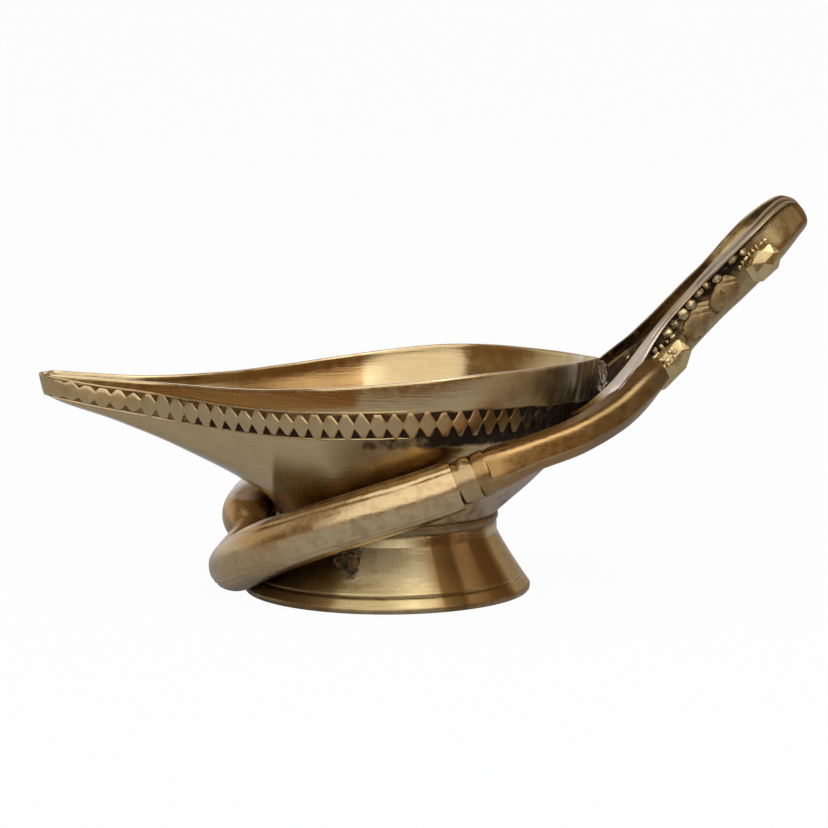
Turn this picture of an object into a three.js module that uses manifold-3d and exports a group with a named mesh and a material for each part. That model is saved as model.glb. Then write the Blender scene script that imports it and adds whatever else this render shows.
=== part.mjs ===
// A cast brass hand lamp: a leaf-shaped oil bowl on a flared hollow foot, a filed bar bent round
// the foot, and two stems that rise from the bar into a dished thumb handle.
// Sizes are in millimetres. X runs from the spout (-X) to the handle (+X), Z is up, and the axis
// of the foot is X = 0, Y = 0 until the whole lamp is set over its origin at the end.
import * as THREE from 'three';
import { mergeVertices } from 'three/addons/utils/BufferGeometryUtils.js';
import Module from 'manifold-3d';

const wasm = await Module();
wasm.setup();

const { lerp, clamp, smoothstep, degToRad } = THREE.MathUtils;
const NEAR = -1;
const FAR = 1;

// Clearance between pieces that are soldered or seated together
const seatGap = 0.3;

// Flared foot, hollow below; the flare pulls say where its curve bends between rim and waist
const foot = {
  rimRadius: 24.4,
  rimEdge: 0.9,
  rimChamfer: 0.3,
  restWidth: 3.2,
  waistRadius: 18.7,
  waistStart: 10.2,
  flarePullIn: 0.16,
  flarePullUp: 0.8,
  flareSteps: 5,
  height: 12.6,
  wall: 2.0,
  chamfer: 0.8,
};

// Leaf-shaped bowl; the round powers shape the leaf as seen from above, and the drop of the rim
// toward the spout is eased between two shares of the bowl's length
const bowl = {
  length: 94.6,
  endX: 36.1,
  wideX: 5.3,
  spoutLength: 17.5,
  halfWidth: 23.6,
  endRound: 0.85,
  leafRound: 1.0,
  spoutRootHalf: 3.4,
  spoutTipHalf: 2.5,
  depth: 26.7,
  spoutDrop: 3.7,
  dropTo: 0.3,
  dropFrom: 0.85,
  tipRise: 1.5,
  neckStep: 0.2,
  neckChamfer: 1.0,
  floor: 2.4,
  floorCove: 2.4,
  wall: 1.7,
  keelFadeX: -8.0,
};

// Keel under the spout: share of the height against share of the reach from neck to tip
const keelLine = [
  [0, 0],
  [0.1, 0.03],
  [0.29, 0.22],
  [0.5, 0.47],
  [0.69, 0.73],
  [0.8, 0.92],
  [0.9, 0.985],
  [1, 1],
];

// Notched strip of lozenges round the bowl; it lies deeper below the rim toward the handle
const border = {
  height: 4.3,
  waist: 0.9,
  proud: 0.95,
  crown: 0.1,
  faceShare: 0.8,
  pitch: 2.7,
  dropTip: 2.2,
  dropEnd: 9.1,
  dropPower: 0.72,
  endX: 31.0,
  room: 0.4,
};

// Bar bent round the foot, from the near collar to the far one. Each row holds the angle round
// the foot, how far outside its rim, the climb as a share of the collars' height, and the radius
const loop = {
  facets: 8,
  facetTurn: 40,
  edgeCut: 9,
  steps: 42,
  line: [
    [-75, 3.5, 0.87, 4.65],
    [-94, 2.1, 0.74, 4.75],
    [-117, 1.7, 0.58, 4.8],
    [-139, 2.0, 0.43, 4.8],
    [-159, 2.0, 0.27, 4.6],
    [-172, 1.6, 0.22, 4.2],
    [-184, -0.7, 0.37, 3.7],
    [-197, 0.9, 0.53, 4.4],
    [-217, 1.0, 0.60, 4.7],
    [-242, 1.2, 0.66, 4.7],
    [-266, 2.1, 0.75, 4.7],
    [-285, 3.5, 0.87, 4.65],
  ],
  endRadius: 4.6,
};

// Two beads side by side where each arm of the loop meets its stem
const collar = {
  ahead: 14.8,
  outset: 2.4,
  aboveFoot: 10.9,
  rise: 23.5,
  ringWidth: 3.4,
  radius: 4.95,
  edgeRadius: 4.2,
  bulgeSteps: 4,
  sides: 20,
};

// Stem from the collar to the side of the handle. Each row holds the share of that way, how far
// the stem bows outward and sags there, and its radius
const stem = {
  startRadius: 2.8,
  joinX: 6.1,
  joinDown: 2.6,
  joinIn: 1.6,
  steps: 14,
  line: [
    [0.28, 2.3, 0.9, 2.8],
    [0.53, 2.3, 2.5, 2.95],
    [0.72, 2.2, 3.3, 3.05],
    [0.85, 1.8, 2.2, 2.6],
    [1, 0, 0, 1.5],
  ],
};

// Dished handle. Each row of its crest line holds X past the bowl's end and Z over its rim, then
// the half width of the dish, the half width overall, the depth, how far the crest is lowered and
// how far the rim strip falls
const hood = {
  stripEdge: 0.35,
  sideInset: 0.6,
  sideLean: 0.1,
  sideLeast: 0.4,
  backRound: 1.5,
  backLeast: 0.6,
  dish: 3.6,
  dishLimit: 0.7,
  dishInset: 0.35,
  dishDrop: 0.25,
  steps: 36,
  line: [
    [-11.5, -12.6, 5.0, 7.0, 7.0, 0, 0.7],
    [-7.7, -9.8, 9.0, 11.0, 7.0, 0, 0.8],
    [-3.7, -6.6, 14.0, 16.5, 7.2, 0, 1.2],
    [0.0, -3.0, 16.6, 19.4, 7.2, 0, 2.0],
    [3.2, 0.1, 14.2, 17.0, 7.2, 0, 2.0],
    [5.7, 2.7, 10.6, 12.8, 7.3, 0, 1.3],
    [9.7, 7.2, 7.6, 9.4, 7.4, 0, 0.7],
    [14.6, 12.5, 7.0, 8.6, 7.5, 0, 0.6],
    [20.8, 19.0, 9.0, 10.5, 7.6, 0, 0.6],
    [24.5, 22.9, 9.0, 10.5, 7.4, 0, 0.6],
    [27.5, 25.9, 6.4, 8.2, 7.2, 0.2, 0.7],
    [29.5, 27.7, 3.2, 5.9, 7.0, 0.7, 0.8],
    [30.7, 28.8, 1.4, 4.0, 6.0, 2.2, 0.8],
  ],
};

// Beaded wire under each edge of the handle
const pearls = { radius: 0.85, neck: 0.4, fullness: 0.7, sides: 6, pitch: 1.95, startX: 6.3, endX: 20.9 };

// Relief leaves on the sides of the handle: X past the bowl's end, depth below the crest, half sizes
const leaves = [
  { name: 'lower', x: 12.5, down: 4.9, length: 3.2, height: 1.7, proud: 1.7 },
  { name: 'upper', x: 16.8, down: 4.7, length: 2.5, height: 1.5, proud: 1.6 },
];

// Faceted studs on the sides of the handle: X past the bowl's end, depth below the crest, sizes
const studs = [
  { name: 'lower', x: 7.1, down: 5.4, length: 8.2, height: 4.4, proud: 2.6 },
  { name: 'upper', x: 22.5, down: 5.3, length: 6.2, height: 4.8, proud: 2.6 },
];
const studShape = { sides: 6, topShare: 0.32, baseShare: 0.56 };

// Solder in the corners where the bar touches the foot and the handle meets the bowl
const loopSolder = { angle: -108, inset: 2.6, height: 8.0, half: [2.6, 3.0, 4.2] };
const handleSolder = { pastEnd: 0.3, belowRim: 4.3, half: [2.1, 7.0, 3.3] };

// Facets round a turned piece, round the bowl and on a lump of solder or a leaf
const turnedSides = 64;
const bowlSides = 64;
const lumpSides = 12;
const lumpBands = 8;

const tipX = bowl.endX - bowl.length;
const leafX = tipX + bowl.spoutLength;
const neckRadius = foot.waistRadius + bowl.neckStep;
const bowlBottom = foot.height + seatGap;
const rimHeight = bowlBottom + bowl.depth;

const brass = { color: 0x9c8046, roughness: 0.34, metalness: 1 };
const darkBrass = { color: 0x5a4526, roughness: 0.6, metalness: 0.9 };

// Signed volume of an indexed geometry, negative when its faces point in
function signedVolume(positions, index) {
  const a = new THREE.Vector3();
  const b = new THREE.Vector3();
  const c = new THREE.Vector3();
  let volume = 0;
  for (let i = 0; i < index.length; i += 3) {
    a.fromArray(positions, 3 * index[i]);
    b.fromArray(positions, 3 * index[i + 1]);
    c.fromArray(positions, 3 * index[i + 2]);
    volume += a.dot(b.cross(c)) / 6;
  }
  return volume;
}

// A manifold solid from plain positions and triangles, turned to face out
function solidFrom(positions, index) {
  if (signedVolume(positions, index) < 0) {
    for (let i = 0; i < index.length; i += 3) {
      const first = index[i];
      index[i] = index[i + 1];
      index[i + 1] = first;
    }
  }
  const vertProperties = new Float32Array(positions);
  const triVerts = new Uint32Array(index);
  return new wasm.Manifold(new wasm.Mesh({ numProp: 3, vertProperties, triVerts }));
}

// A manifold solid from a closed three.js geometry
function solidOf(geometry) {
  const weld = 1e-4;
  const bare = geometry.clone();
  bare.deleteAttribute('normal');
  bare.deleteAttribute('uv');
  const merged = mergeVertices(bare, weld);
  return solidFrom(Array.from(merged.attributes.position.array), Array.from(merged.index.array));
}

// Closes one ring across itself, pairing its points from both ends
function closeRing(index, start, count, reversed) {
  for (let i = 0; i < count / 2 - 1; i++) {
    const a = start + i;
    const b = a + 1;
    const c = start + count - 2 - i;
    const d = c + 1;
    if (reversed) index.push(a, c, b, a, d, c);
    else index.push(a, b, c, a, c, d);
  }
}

// Joins equal rings of points, an even count in each, into one closed solid
function skin(rings) {
  const count = rings[0].length;
  const positions = rings.flat().flatMap((p) => [p.x, p.y, p.z]);
  const index = [];
  for (let r = 0; r < rings.length - 1; r++) {
    for (let i = 0; i < count; i++) {
      const a = r * count + i;
      const b = r * count + ((i + 1) % count);
      index.push(a, b, b + count, a, b + count, a + count);
    }
  }
  closeRing(index, 0, count, true);
  closeRing(index, (rings.length - 1) * count, count, false);
  return solidFrom(positions, index);
}

// The largest piece of a solid that a cut may have left in several
function largest(solid) {
  return solid.decompose().reduce((best, piece) => (piece.volume() > best.volume() ? piece : best));
}

function meshOf(name, solid, finish) {
  const { vertProperties, triVerts } = solid.getMesh();
  const geometry = new THREE.BufferGeometry();
  geometry.setAttribute('position', new THREE.Float32BufferAttribute(vertProperties, 3));
  geometry.setIndex(Array.from(triVerts));
  geometry.computeVertexNormals();
  const mesh = new THREE.Mesh(geometry, new THREE.MeshStandardMaterial(finish));
  mesh.name = name;
  return mesh;
}

// Value between four even steps of a smooth curve
function between(before, from, to, after, share) {
  const slopeFrom = (to - before) / 2;
  const slopeTo = (after - from) / 2;
  const bend = 2 * (from - to) + slopeFrom + slopeTo;
  return from + share * (slopeFrom + share * (3 * (to - from) - 2 * slopeFrom - slopeTo + share * bend));
}

// Smooth curve through rows of numbers: a place in X, Y, Z, then whatever else the row holds
function rowsCurve(rows) {
  const last = rows.length - 1;
  return (t) => {
    const place = clamp(t, 0, 1) * last;
    const i = Math.min(Math.floor(place), last - 1);
    const four = [Math.max(i - 1, 0), i, i + 1, Math.min(i + 2, last)].map((k) => rows[k]);
    const [x, y, z, ...tail] = four[1].map((_, k) => between(...four.map((row) => row[k]), place - i));
    return { point: new THREE.Vector3(x, y, z), tail };
  };
}

// Unit vectors along, across and over a line that runs mostly sideways
function frameAt(curve, t) {
  const step = 0.002;
  const along = curve(Math.min(t + step, 1)).point.sub(curve(Math.max(t - step, 0)).point).normalize();
  const across = new THREE.Vector3(0, 0, 1).cross(along).normalize();
  const over = along.clone().cross(across).normalize();
  return { along, across, over };
}

// A filed bar along a line: a polygon with its edges cut, following the radius of each row
function filedBar(rows, steps, extra) {
  const curve = rowsCurve(rows);
  const rings = [];
  for (let k = 0; k <= steps; k++) {
    const t = k / steps;
    const { point, tail } = curve(t);
    const { across, over } = frameAt(curve, t);
    const ring = [];
    for (let i = 0; i < 2 * loop.facets; i++) {
      const cut = i % 2 === 0 ? -loop.edgeCut : loop.edgeCut;
      const angle = degToRad(loop.facetTurn + cut + Math.floor(i / 2) * (360 / loop.facets));
      ring.push(
        point.clone()
          .addScaledVector(over, (tail[0] + extra) * Math.cos(angle))
          .addScaledVector(across, (tail[0] + extra) * Math.sin(angle)),
      );
    }
    rings.push(ring);
  }
  return skin(rings);
}

// Foot

// Points down the outside of the foot, from its rim to its waist
function flarePoints() {
  const flare = new THREE.QuadraticBezierCurve(
    new THREE.Vector2(foot.rimRadius, foot.rimEdge),
    new THREE.Vector2(
      lerp(foot.waistRadius, foot.rimRadius, foot.flarePullIn),
      lerp(foot.rimEdge, foot.waistStart, foot.flarePullUp),
    ),
    new THREE.Vector2(foot.waistRadius, foot.waistStart),
  );
  return flare.getPoints(foot.flareSteps);
}

function latheSolid(outline) {
  return solidOf(new THREE.LatheGeometry(outline, turnedSides).rotateX(Math.PI / 2));
}

function footSolid() {
  const outer = flarePoints();
  const inner = outer.map((p) => new THREE.Vector2(p.x - foot.wall, p.y));
  const start = new THREE.Vector2(foot.rimRadius - foot.rimChamfer, 0);
  return latheSolid([
    start,
    ...outer,
    new THREE.Vector2(foot.waistRadius, foot.height - foot.chamfer),
    new THREE.Vector2(foot.waistRadius - foot.chamfer, foot.height),
    new THREE.Vector2(foot.waistRadius - foot.wall, foot.height),
    ...inner.slice(1).reverse(),
    new THREE.Vector2(foot.rimRadius - foot.restWidth, foot.rimEdge),
    new THREE.Vector2(foot.rimRadius - foot.restWidth, 0),
    start,
  ]);
}

// The foot as a plain block, grown by a clearance, to cut what lies against it
function footBlank(grow) {
  const below = -seatGap;
  return latheSolid([
    new THREE.Vector2(0, below),
    new THREE.Vector2(foot.rimRadius + grow, below),
    ...flarePoints().map((p) => new THREE.Vector2(p.x + grow, p.y)),
    new THREE.Vector2(foot.waistRadius + grow, foot.height + seatGap),
    new THREE.Vector2(0, foot.height + seatGap),
  ]);
}

// Bowl

function leafWidth(share, round) {
  return bowl.halfWidth * Math.cos((Math.PI / 2) * clamp(share, 0, 1)) ** round;
}

function rimHalfWidth(x) {
  if (x >= bowl.wideX) return leafWidth((x - bowl.wideX) / (bowl.endX - bowl.wideX), bowl.endRound);
  const leaf = leafWidth((bowl.wideX - x) / (bowl.wideX - leafX), bowl.leafRound);
  const along = clamp((x - tipX) / (leafX - tipX), 0, 1);
  const past = Math.max(bowl.spoutTipHalf - (x - tipX), 0) / bowl.spoutTipHalf;
  const spout = lerp(bowl.spoutTipHalf, bowl.spoutRootHalf, along) * Math.sqrt(Math.max(1 - past ** 2, 0));
  return Math.cbrt(leaf ** 3 + spout ** 3);
}

function rimZ(x) {
  const share = (x - tipX) / (bowl.endX - tipX);
  const lift = smoothstep(share, bowl.dropTo, bowl.dropFrom);
  const curl = Math.max(0, 1 - share / bowl.dropTo) ** 2;
  return rimHeight - bowl.spoutDrop * (1 - lift) + bowl.tipRise * curl;
}

// Closed outline of the rim, moved in by an inset, from the round end by the near side to the tip
function rimCurve(inset) {
  const halfSides = 44;
  const middle = (bowl.endX + tipX) / 2;
  const reach = (bowl.endX - tipX) / 2;
  const side = [];
  for (let i = 0; i <= halfSides; i++) {
    const x = middle + reach * Math.cos((Math.PI * i) / halfSides);
    side.push(new THREE.Vector2(x, -rimHalfWidth(x)));
  }
  const moved = side.map((p, i) => {
    const before = side[Math.max(i - 1, 0)].clone();
    const after = side[Math.min(i + 1, halfSides)].clone();
    if (i === 0) before.set(after.x, -after.y);
    if (i === halfSides) after.set(before.x, -before.y);
    const run = after.sub(before).normalize();
    const y = Math.min(p.y + inset * -run.x, 0);
    return new THREE.Vector3(p.x + inset * run.y, i === 0 || i === halfSides ? 0 : y, rimZ(p.x));
  });
  const mirrored = moved.slice(1, halfSides).reverse().map((p) => new THREE.Vector3(p.x, -p.y, p.z));
  const curve = new THREE.CatmullRomCurve3([...moved, ...mirrored], true, 'centripetal');
  curve.arcLengthDivisions = 800;
  return curve;
}

function keelReach(v) {
  const i = Math.max(keelLine.findIndex((row) => row[0] >= v), 1);
  const [v0, r0] = keelLine[i - 1];
  const [v1, r1] = keelLine[i];
  return lerp(r0, r1, (v - v0) / (v1 - v0));
}

// Points of a bowl surface: u goes round it, v climbs from its base circle to its rim
function hull(inset, baseRadius, baseZ) {
  const rim = rimCurve(inset);
  return (u, v) => {
    const top = rim.getPointAt(u);
    const angle = -2 * Math.PI * u;
    const keel = 1 - smoothstep(top.x, leafX, bowl.keelFadeX);
    const reach = lerp(1 - (1 - v) ** 2, keelReach(v), keel);
    return new THREE.Vector3(
      lerp(baseRadius * Math.cos(angle), top.x, reach),
      lerp(baseRadius * Math.sin(angle), top.y, reach),
      lerp(baseZ, top.z, v),
    );
  };
}

function hullRing(surface, v) {
  const ring = [];
  for (let i = 0; i < bowlSides; i++) ring.push(surface(i / bowlSides, v));
  return ring;
}

function circleRing(radius, z) {
  const ring = [];
  for (let i = 0; i < bowlSides; i++) {
    const angle = (-2 * Math.PI * i) / bowlSides;
    ring.push(new THREE.Vector3(radius * Math.cos(angle), radius * Math.sin(angle), z));
  }
  return ring;
}

// Shares of the bowl's height where its skin has a ring of points
const levels = [0, 0.1, 0.22, 0.35, 0.5, 0.65, 0.8, 0.9, 1];

const outerHull = hull(0, neckRadius, bowlBottom + bowl.neckChamfer);

function bowlSolid() {
  const innerHull = hull(bowl.wall, neckRadius - bowl.wall - bowl.floorCove, bowlBottom + bowl.floor);
  return skin([
    circleRing(neckRadius - bowl.neckChamfer, bowlBottom),
    ...levels.map((v) => hullRing(outerHull, v)),
    ...levels.toReversed().map((v) => hullRing(innerHull, v)),
  ]);
}

// The bowl as a plain block, grown by a clearance
function bowlBlank(grow) {
  const surface = hull(-grow, neckRadius + grow, bowlBottom + bowl.neckChamfer);
  const below = circleRing(neckRadius + grow, bowlBottom - grow);
  const above = hullRing(surface, 1).map((p) => new THREE.Vector3(p.x, p.y, p.z + grow));
  return skin([below, ...levels.map((v) => hullRing(surface, v)), above]);
}

// Diamond border

// Share of the bowl's height where the border lies
function borderPoint(u) {
  const rim = outerHull(u, 1);
  const share = (rim.x - tipX) / (bowl.endX - tipX);
  const drop = lerp(border.dropTip, border.dropEnd, Math.max(share, 0) ** border.dropPower);
  const base = outerHull(u, 0).z;
  return (rim.z - drop - base) / (rim.z - base);
}

function borderSolid() {
  const fineSteps = 600;
  const nudge = 0.004;
  const lift = 0.05;
  const track = [];
  for (let i = 0; i <= fineSteps; i++) {
    const u = i / fineSteps;
    if (outerHull(u, 1).x <= border.endX) track.push(u);
  }
  const path = track.map((u) => outerHull(u, borderPoint(u)));
  const lengths = [0];
  for (let i = 1; i < path.length; i++) lengths.push(lengths[i - 1] + path[i].distanceTo(path[i - 1]));
  const count = 2 * Math.round(lengths.at(-1) / border.pitch);
  const rings = [];
  for (let k = 0; k <= count; k++) {
    const want = (lengths.at(-1) * k) / count;
    const i = clamp(lengths.findIndex((length) => length >= want), 1, track.length - 1);
    const share = (want - lengths[i - 1]) / (lengths[i] - lengths[i - 1]);
    const u = lerp(track[i - 1], track[i], share);
    const v = borderPoint(u);
    const point = outerHull(u, v);
    const along = outerHull(u + nudge, v).sub(outerHull(u - nudge, v)).normalize();
    const up = outerHull(u, Math.min(v + lift, 1)).sub(outerHull(u, v - lift));
    up.addScaledVector(along, -up.dot(along)).normalize();
    const out = along.clone().cross(up).normalize();
    if (out.dot(new THREE.Vector3(point.x, point.y, 0)) < 0) out.negate();
    const half = (k % 2 === 0 ? border.waist : border.height) / 2;
    const face = half * border.faceShare;
    const top = seatGap + border.proud;
    const section = [
      [half, seatGap],
      [face, top],
      [0, top + border.crown],
      [-face, top],
      [-half, seatGap],
      [0, seatGap],
    ];
    rings.push(section.map(([a, b]) => point.clone().addScaledVector(up, a).addScaledVector(out, b)));
  }
  return largest(skin(rings).subtract(bowlBlank(seatGap / 2)));
}

// Solder ring in the groove between bowl and foot

function neckSolderSolid() {
  const low = foot.height - foot.chamfer;
  const high = bowlBottom + bowl.neckChamfer;
  const middle = bowlBottom - seatGap / 2;
  const start = new THREE.Vector2(foot.waistRadius - foot.chamfer / 2 + seatGap, middle);
  return latheSolid([
    start,
    new THREE.Vector2(foot.waistRadius + seatGap / 2, low + seatGap),
    new THREE.Vector2(neckRadius + seatGap, middle),
    new THREE.Vector2(neckRadius + seatGap / 2, high - seatGap),
    start,
  ]);
}

// Arms: the loop, its collars and the stems share one line on each side

const collarAxis = new THREE.Vector3(Math.cos(degToRad(collar.rise)), 0, Math.sin(degToRad(collar.rise)));
const collarHalf = collar.ringWidth + seatGap / 2;
const collarHeight = foot.height + collar.aboveFoot;

function onCollar(side, distance) {
  const centre = new THREE.Vector3(collar.ahead, side * (foot.rimRadius + collar.outset), collarHeight);
  return centre.addScaledVector(collarAxis, distance);
}

// Keeps what lies before (-1) or after (1) the collars, square to their axis
function squareEnd(solid, way, extra) {
  const end = onCollar(NEAR, way * (collarHalf + seatGap - extra));
  return solid.trimByPlane(collarAxis.clone().multiplyScalar(way).toArray(), way * end.dot(collarAxis));
}

function loopSolid(extra) {
  const ends = [NEAR, FAR].map((side) => {
    const end = onCollar(side, -collar.ringWidth);
    return [end.x, end.y, end.z, loop.endRadius];
  });
  const rows = loop.line.map(([angle, outset, climb, radius]) => {
    const reach = foot.rimRadius + outset;
    const turn = degToRad(angle);
    return [reach * Math.cos(turn), reach * Math.sin(turn), climb * collarHeight, radius];
  });
  return squareEnd(filedBar([ends[0], ...rows, ends[1]], loop.steps, extra), -1, extra);
}

function stemSolid(side, extra) {
  const start = onCollar(side, collar.ringWidth);
  const end = onHoodSide(side, bowl.endX + stem.joinX, stem.joinDown, -stem.joinIn);
  const rows = stem.line.map(([share, outward, sag, radius]) => {
    const p = start.clone().lerp(end, share);
    return [p.x, p.y + side * outward, p.z - sag, radius];
  });
  const bar = filedBar([[start.x, start.y, start.z, stem.startRadius], ...rows], stem.steps, extra);
  return squareEnd(bar, 1, extra);
}

function collarRingSolid(side, place) {
  const half = collar.ringWidth / 2;
  const bulge = new THREE.EllipseCurve(0, 0, half, collar.radius - collar.edgeRadius, Math.PI, 0, true);
  const outline = [new THREE.Vector2(0, -half)];
  for (const p of bulge.getPoints(collar.bulgeSteps)) {
    outline.push(new THREE.Vector2(collar.edgeRadius + p.y, p.x));
  }
  outline.push(new THREE.Vector2(0, half));
  const ring = new THREE.LatheGeometry(outline, collar.sides);
  const turn = new THREE.Quaternion().setFromUnitVectors(new THREE.Vector3(0, 1, 0), collarAxis);
  const centre = onCollar(side, place * (half + seatGap / 2));
  ring.applyQuaternion(turn).translate(centre.x, centre.y, centre.z);
  return solidOf(ring);
}

// Handle

const hoodRows = hood.line.map(([x, z, ...rest]) => [bowl.endX + x, 0, rimHeight + z, ...rest]);
const hoodCurve = rowsCurve(hoodRows);

// Place on the crest line at a given X, with the directions along it and out of its face
function hoodAt(x) {
  const halvingSteps = 30;
  let low = 0;
  let high = 1;
  for (let i = 0; i < halvingSteps; i++) {
    const middle = (low + high) / 2;
    if (hoodCurve(middle).point.x < x) low = middle;
    else high = middle;
  }
  return hoodStation(low);
}

function hoodStation(t) {
  const { point, tail } = hoodCurve(t);
  const { along, over } = frameAt(hoodCurve, t);
  const [crest, half, depth, lowered, drop] = tail;
  return { point, along, over, crest, half, depth, lowered, drop };
}

// Section of the handle, as places across it and out of its face: rim strip, sides, back, dish
function hoodSection(station, grow) {
  const { crest, half, depth, lowered, drop } = station;
  const rim = half + grow;
  const side = half - hood.sideInset + grow;
  const edge = drop + lowered;
  const strip = edge + hood.stripEdge;
  const outer = [
    [-crest, -lowered + grow],
    [-rim, -edge + grow],
    [-rim, -strip],
    [-side, -strip - hood.sideLean],
    [-side, -Math.max(depth - hood.backRound, strip + hood.sideLeast) - grow / 2],
    [-Math.max(side - hood.backRound, hood.backLeast), -depth - grow],
  ];
  const mirrored = outer.toReversed().map(([y, n]) => [-y, n]);
  const count = 2 * outer.length;
  const dish = Math.min(hood.dish, crest * hood.dishLimit);
  const inner = [];
  for (let i = 0; i < count; i++) {
    const angle = (Math.PI * i) / (count - 1);
    const floor = -lowered - hood.dishDrop - dish * Math.sin(angle);
    inner.push([(crest - hood.dishInset) * Math.cos(angle), grow > 0 ? grow : floor]);
  }
  return [...outer, ...mirrored, ...inner];
}

// The handle grown by a clearance, its dish filled wherever it is grown
function hoodBlank(grow) {
  const across = new THREE.Vector3(0, 1, 0);
  const rings = [];
  for (let k = 0; k <= hood.steps; k++) {
    const { point, over, ...station } = hoodStation(k / hood.steps);
    const section = hoodSection(station, grow);
    rings.push(section.map(([y, n]) => point.clone().addScaledVector(across, y).addScaledVector(over, n)));
  }
  return skin(rings);
}

function hoodSolid() {
  return largest(
    hoodBlank(0)
      .subtract(bowlBlank(seatGap))
      .subtract(borderBlank())
      .subtract(stemSolid(NEAR, seatGap))
      .subtract(stemSolid(FAR, seatGap)),
  );
}

// A plain ring of room round the bowl for the border, so that the handle stays off it
function borderBlank() {
  const band = bowlBlank(seatGap + border.proud + border.room).subtract(bowlBlank(seatGap));
  return band.trimByPlane([-1, 0, 0], -border.endX - border.room);
}

// Point on the side of the handle, a little way below the crest line and out from the wall
function onHoodSide(side, x, down, out) {
  const { point, over, half } = hoodAt(x);
  return point
    .addScaledVector(over, -down)
    .add(new THREE.Vector3(0, side * (half - hood.sideInset + out), 0));
}

// One beaded wire: each bead has a ring of points at four shares of its length
function pearlSolid(side) {
  const shares = [0.02, 0.18, 0.5, 0.82];
  const below = hood.stripEdge + seatGap;
  const out = hood.sideInset + pearls.radius + seatGap;
  const sampleSteps = 24;
  const line = [];
  for (let i = 0; i <= sampleSteps; i++) {
    const x = bowl.endX + lerp(pearls.startX, pearls.endX, i / sampleSteps);
    line.push(onHoodSide(side, x, hoodAt(x).drop + below, out));
  }
  const curve = new THREE.CatmullRomCurve3(line);
  const count = Math.round(curve.getLength() / pearls.pitch);
  const rings = [];
  for (let k = 0; k < count; k++) {
    for (const share of shares) {
      const t = (k + share) / count;
      const radius = lerp(pearls.neck, pearls.radius, Math.sin(Math.PI * share) ** pearls.fullness);
      rings.push(roundRing(curve.getPointAt(t), curve.getTangentAt(t), radius));
    }
  }
  return skin(rings);
}

function roundRing(centre, along, radius) {
  const across = new THREE.Vector3(0, 0, 1).cross(along).normalize();
  const over = along.clone().cross(across);
  const ring = [];
  for (let i = 0; i < pearls.sides; i++) {
    const angle = (2 * Math.PI * (i + 0.5)) / pearls.sides;
    ring.push(
      centre.clone()
        .addScaledVector(across, radius * Math.cos(angle))
        .addScaledVector(over, radius * Math.sin(angle)),
    );
  }
  return ring;
}

// Turns a shape so that its X lies along the handle, its Z out of the handle's face
function setOnSide(geometry, side, x, down, out) {
  const { along, over } = hoodAt(bowl.endX + x);
  const place = onHoodSide(side, bowl.endX + x, down, out);
  const turn = new THREE.Matrix4().makeBasis(along, over.clone().cross(along), over);
  geometry.applyMatrix4(turn).translate(place.x, place.y, place.z);
  return solidOf(geometry);
}

function lump(half) {
  return new THREE.SphereGeometry(1, lumpSides, lumpBands).scale(...half);
}

function leafSolid(side, leaf) {
  const shape = lump([leaf.length, leaf.proud, leaf.height]);
  return largest(setOnSide(shape, side, leaf.x, leaf.down, seatGap).subtract(hoodBlank(seatGap)));
}

function studSolid(side, stud) {
  const { topShare, baseShare, sides } = studShape;
  const shape = new THREE.CylinderGeometry(topShare, baseShare, stud.proud, sides);
  if (side === NEAR) shape.rotateX(Math.PI);
  shape.scale(stud.length, 1, stud.height);
  const placed = setOnSide(shape, side, stud.x, stud.down, stud.proud / 2);
  return largest(placed.subtract(hoodBlank(seatGap)).subtract(stemSolid(side, seatGap)));
}

// Solder

function loopSolderSolid() {
  const reach = foot.rimRadius - loopSolder.inset;
  const turn = degToRad(loopSolder.angle);
  const place = [reach * Math.cos(turn), reach * Math.sin(turn), loopSolder.height];
  const blob = solidOf(lump(loopSolder.half).translate(...place));
  return largest(blob.subtract(footBlank(seatGap)).subtract(loopSolid(seatGap)).subtract(bowlBlank(seatGap)));
}

function handleSolderSolid(handle) {
  const place = [bowl.endX + handleSolder.pastEnd, 0, rimHeight - handleSolder.belowRim];
  const blob = solidOf(lump(handleSolder.half).translate(...place));
  const clear = handle.add(handle.translate([-seatGap, 0, seatGap])).add(handle.translate([0, 0, seatGap]));
  return largest(blob.subtract(bowlBlank(seatGap)).subtract(clear));
}

// Assembly

function buildLamp() {
  const lamp = new THREE.Group();
  const add = (name, solid, finish) => lamp.add(meshOf(name, solid, finish));
  const handle = hoodSolid();
  const arms = loopSolid(0).subtract(footBlank(seatGap)).subtract(bowlBlank(seatGap));
  add('foot', footSolid(), brass);
  add('bowl', bowlSolid(), brass);
  add('diamond_border', borderSolid(), brass);
  add('neck_solder', neckSolderSolid(), darkBrass);
  add('foot_loop', largest(arms), brass);
  add('loop_solder', loopSolderSolid(), darkBrass);
  add('hood', handle, brass);
  add('handle_solder', handleSolderSolid(handle), darkBrass);
  for (const [label, side] of [['near', NEAR], ['far', FAR]]) {
    add(`collar_ring_${label}_lower`, collarRingSolid(side, -1), brass);
    add(`collar_ring_${label}_upper`, collarRingSolid(side, 1), brass);
    add(`stem_${label}`, stemSolid(side, 0).subtract(bowlBlank(seatGap)), brass);
    add(`pearl_row_${label}`, pearlSolid(side), brass);
    for (const leaf of leaves) add(`leaf_${label}_${leaf.name}`, leafSolid(side, leaf), brass);
    for (const stud of studs) add(`stud_${label}_${stud.name}`, studSolid(side, stud), brass);
  }
  return lamp;
}

// Origin on the floor under the middle of the lamp
function setOverOrigin(lamp) {
  const box = new THREE.Box3().setFromObject(lamp);
  const centre = box.getCenter(new THREE.Vector3());
  lamp.position.set(-centre.x, -centre.y, -box.min.z);
  lamp.updateMatrixWorld(true);
  return lamp;
}

export default setOverOrigin(buildLamp());
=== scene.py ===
import math

import bpy
import bmesh
import numpy as np
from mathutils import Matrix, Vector, noise


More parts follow.
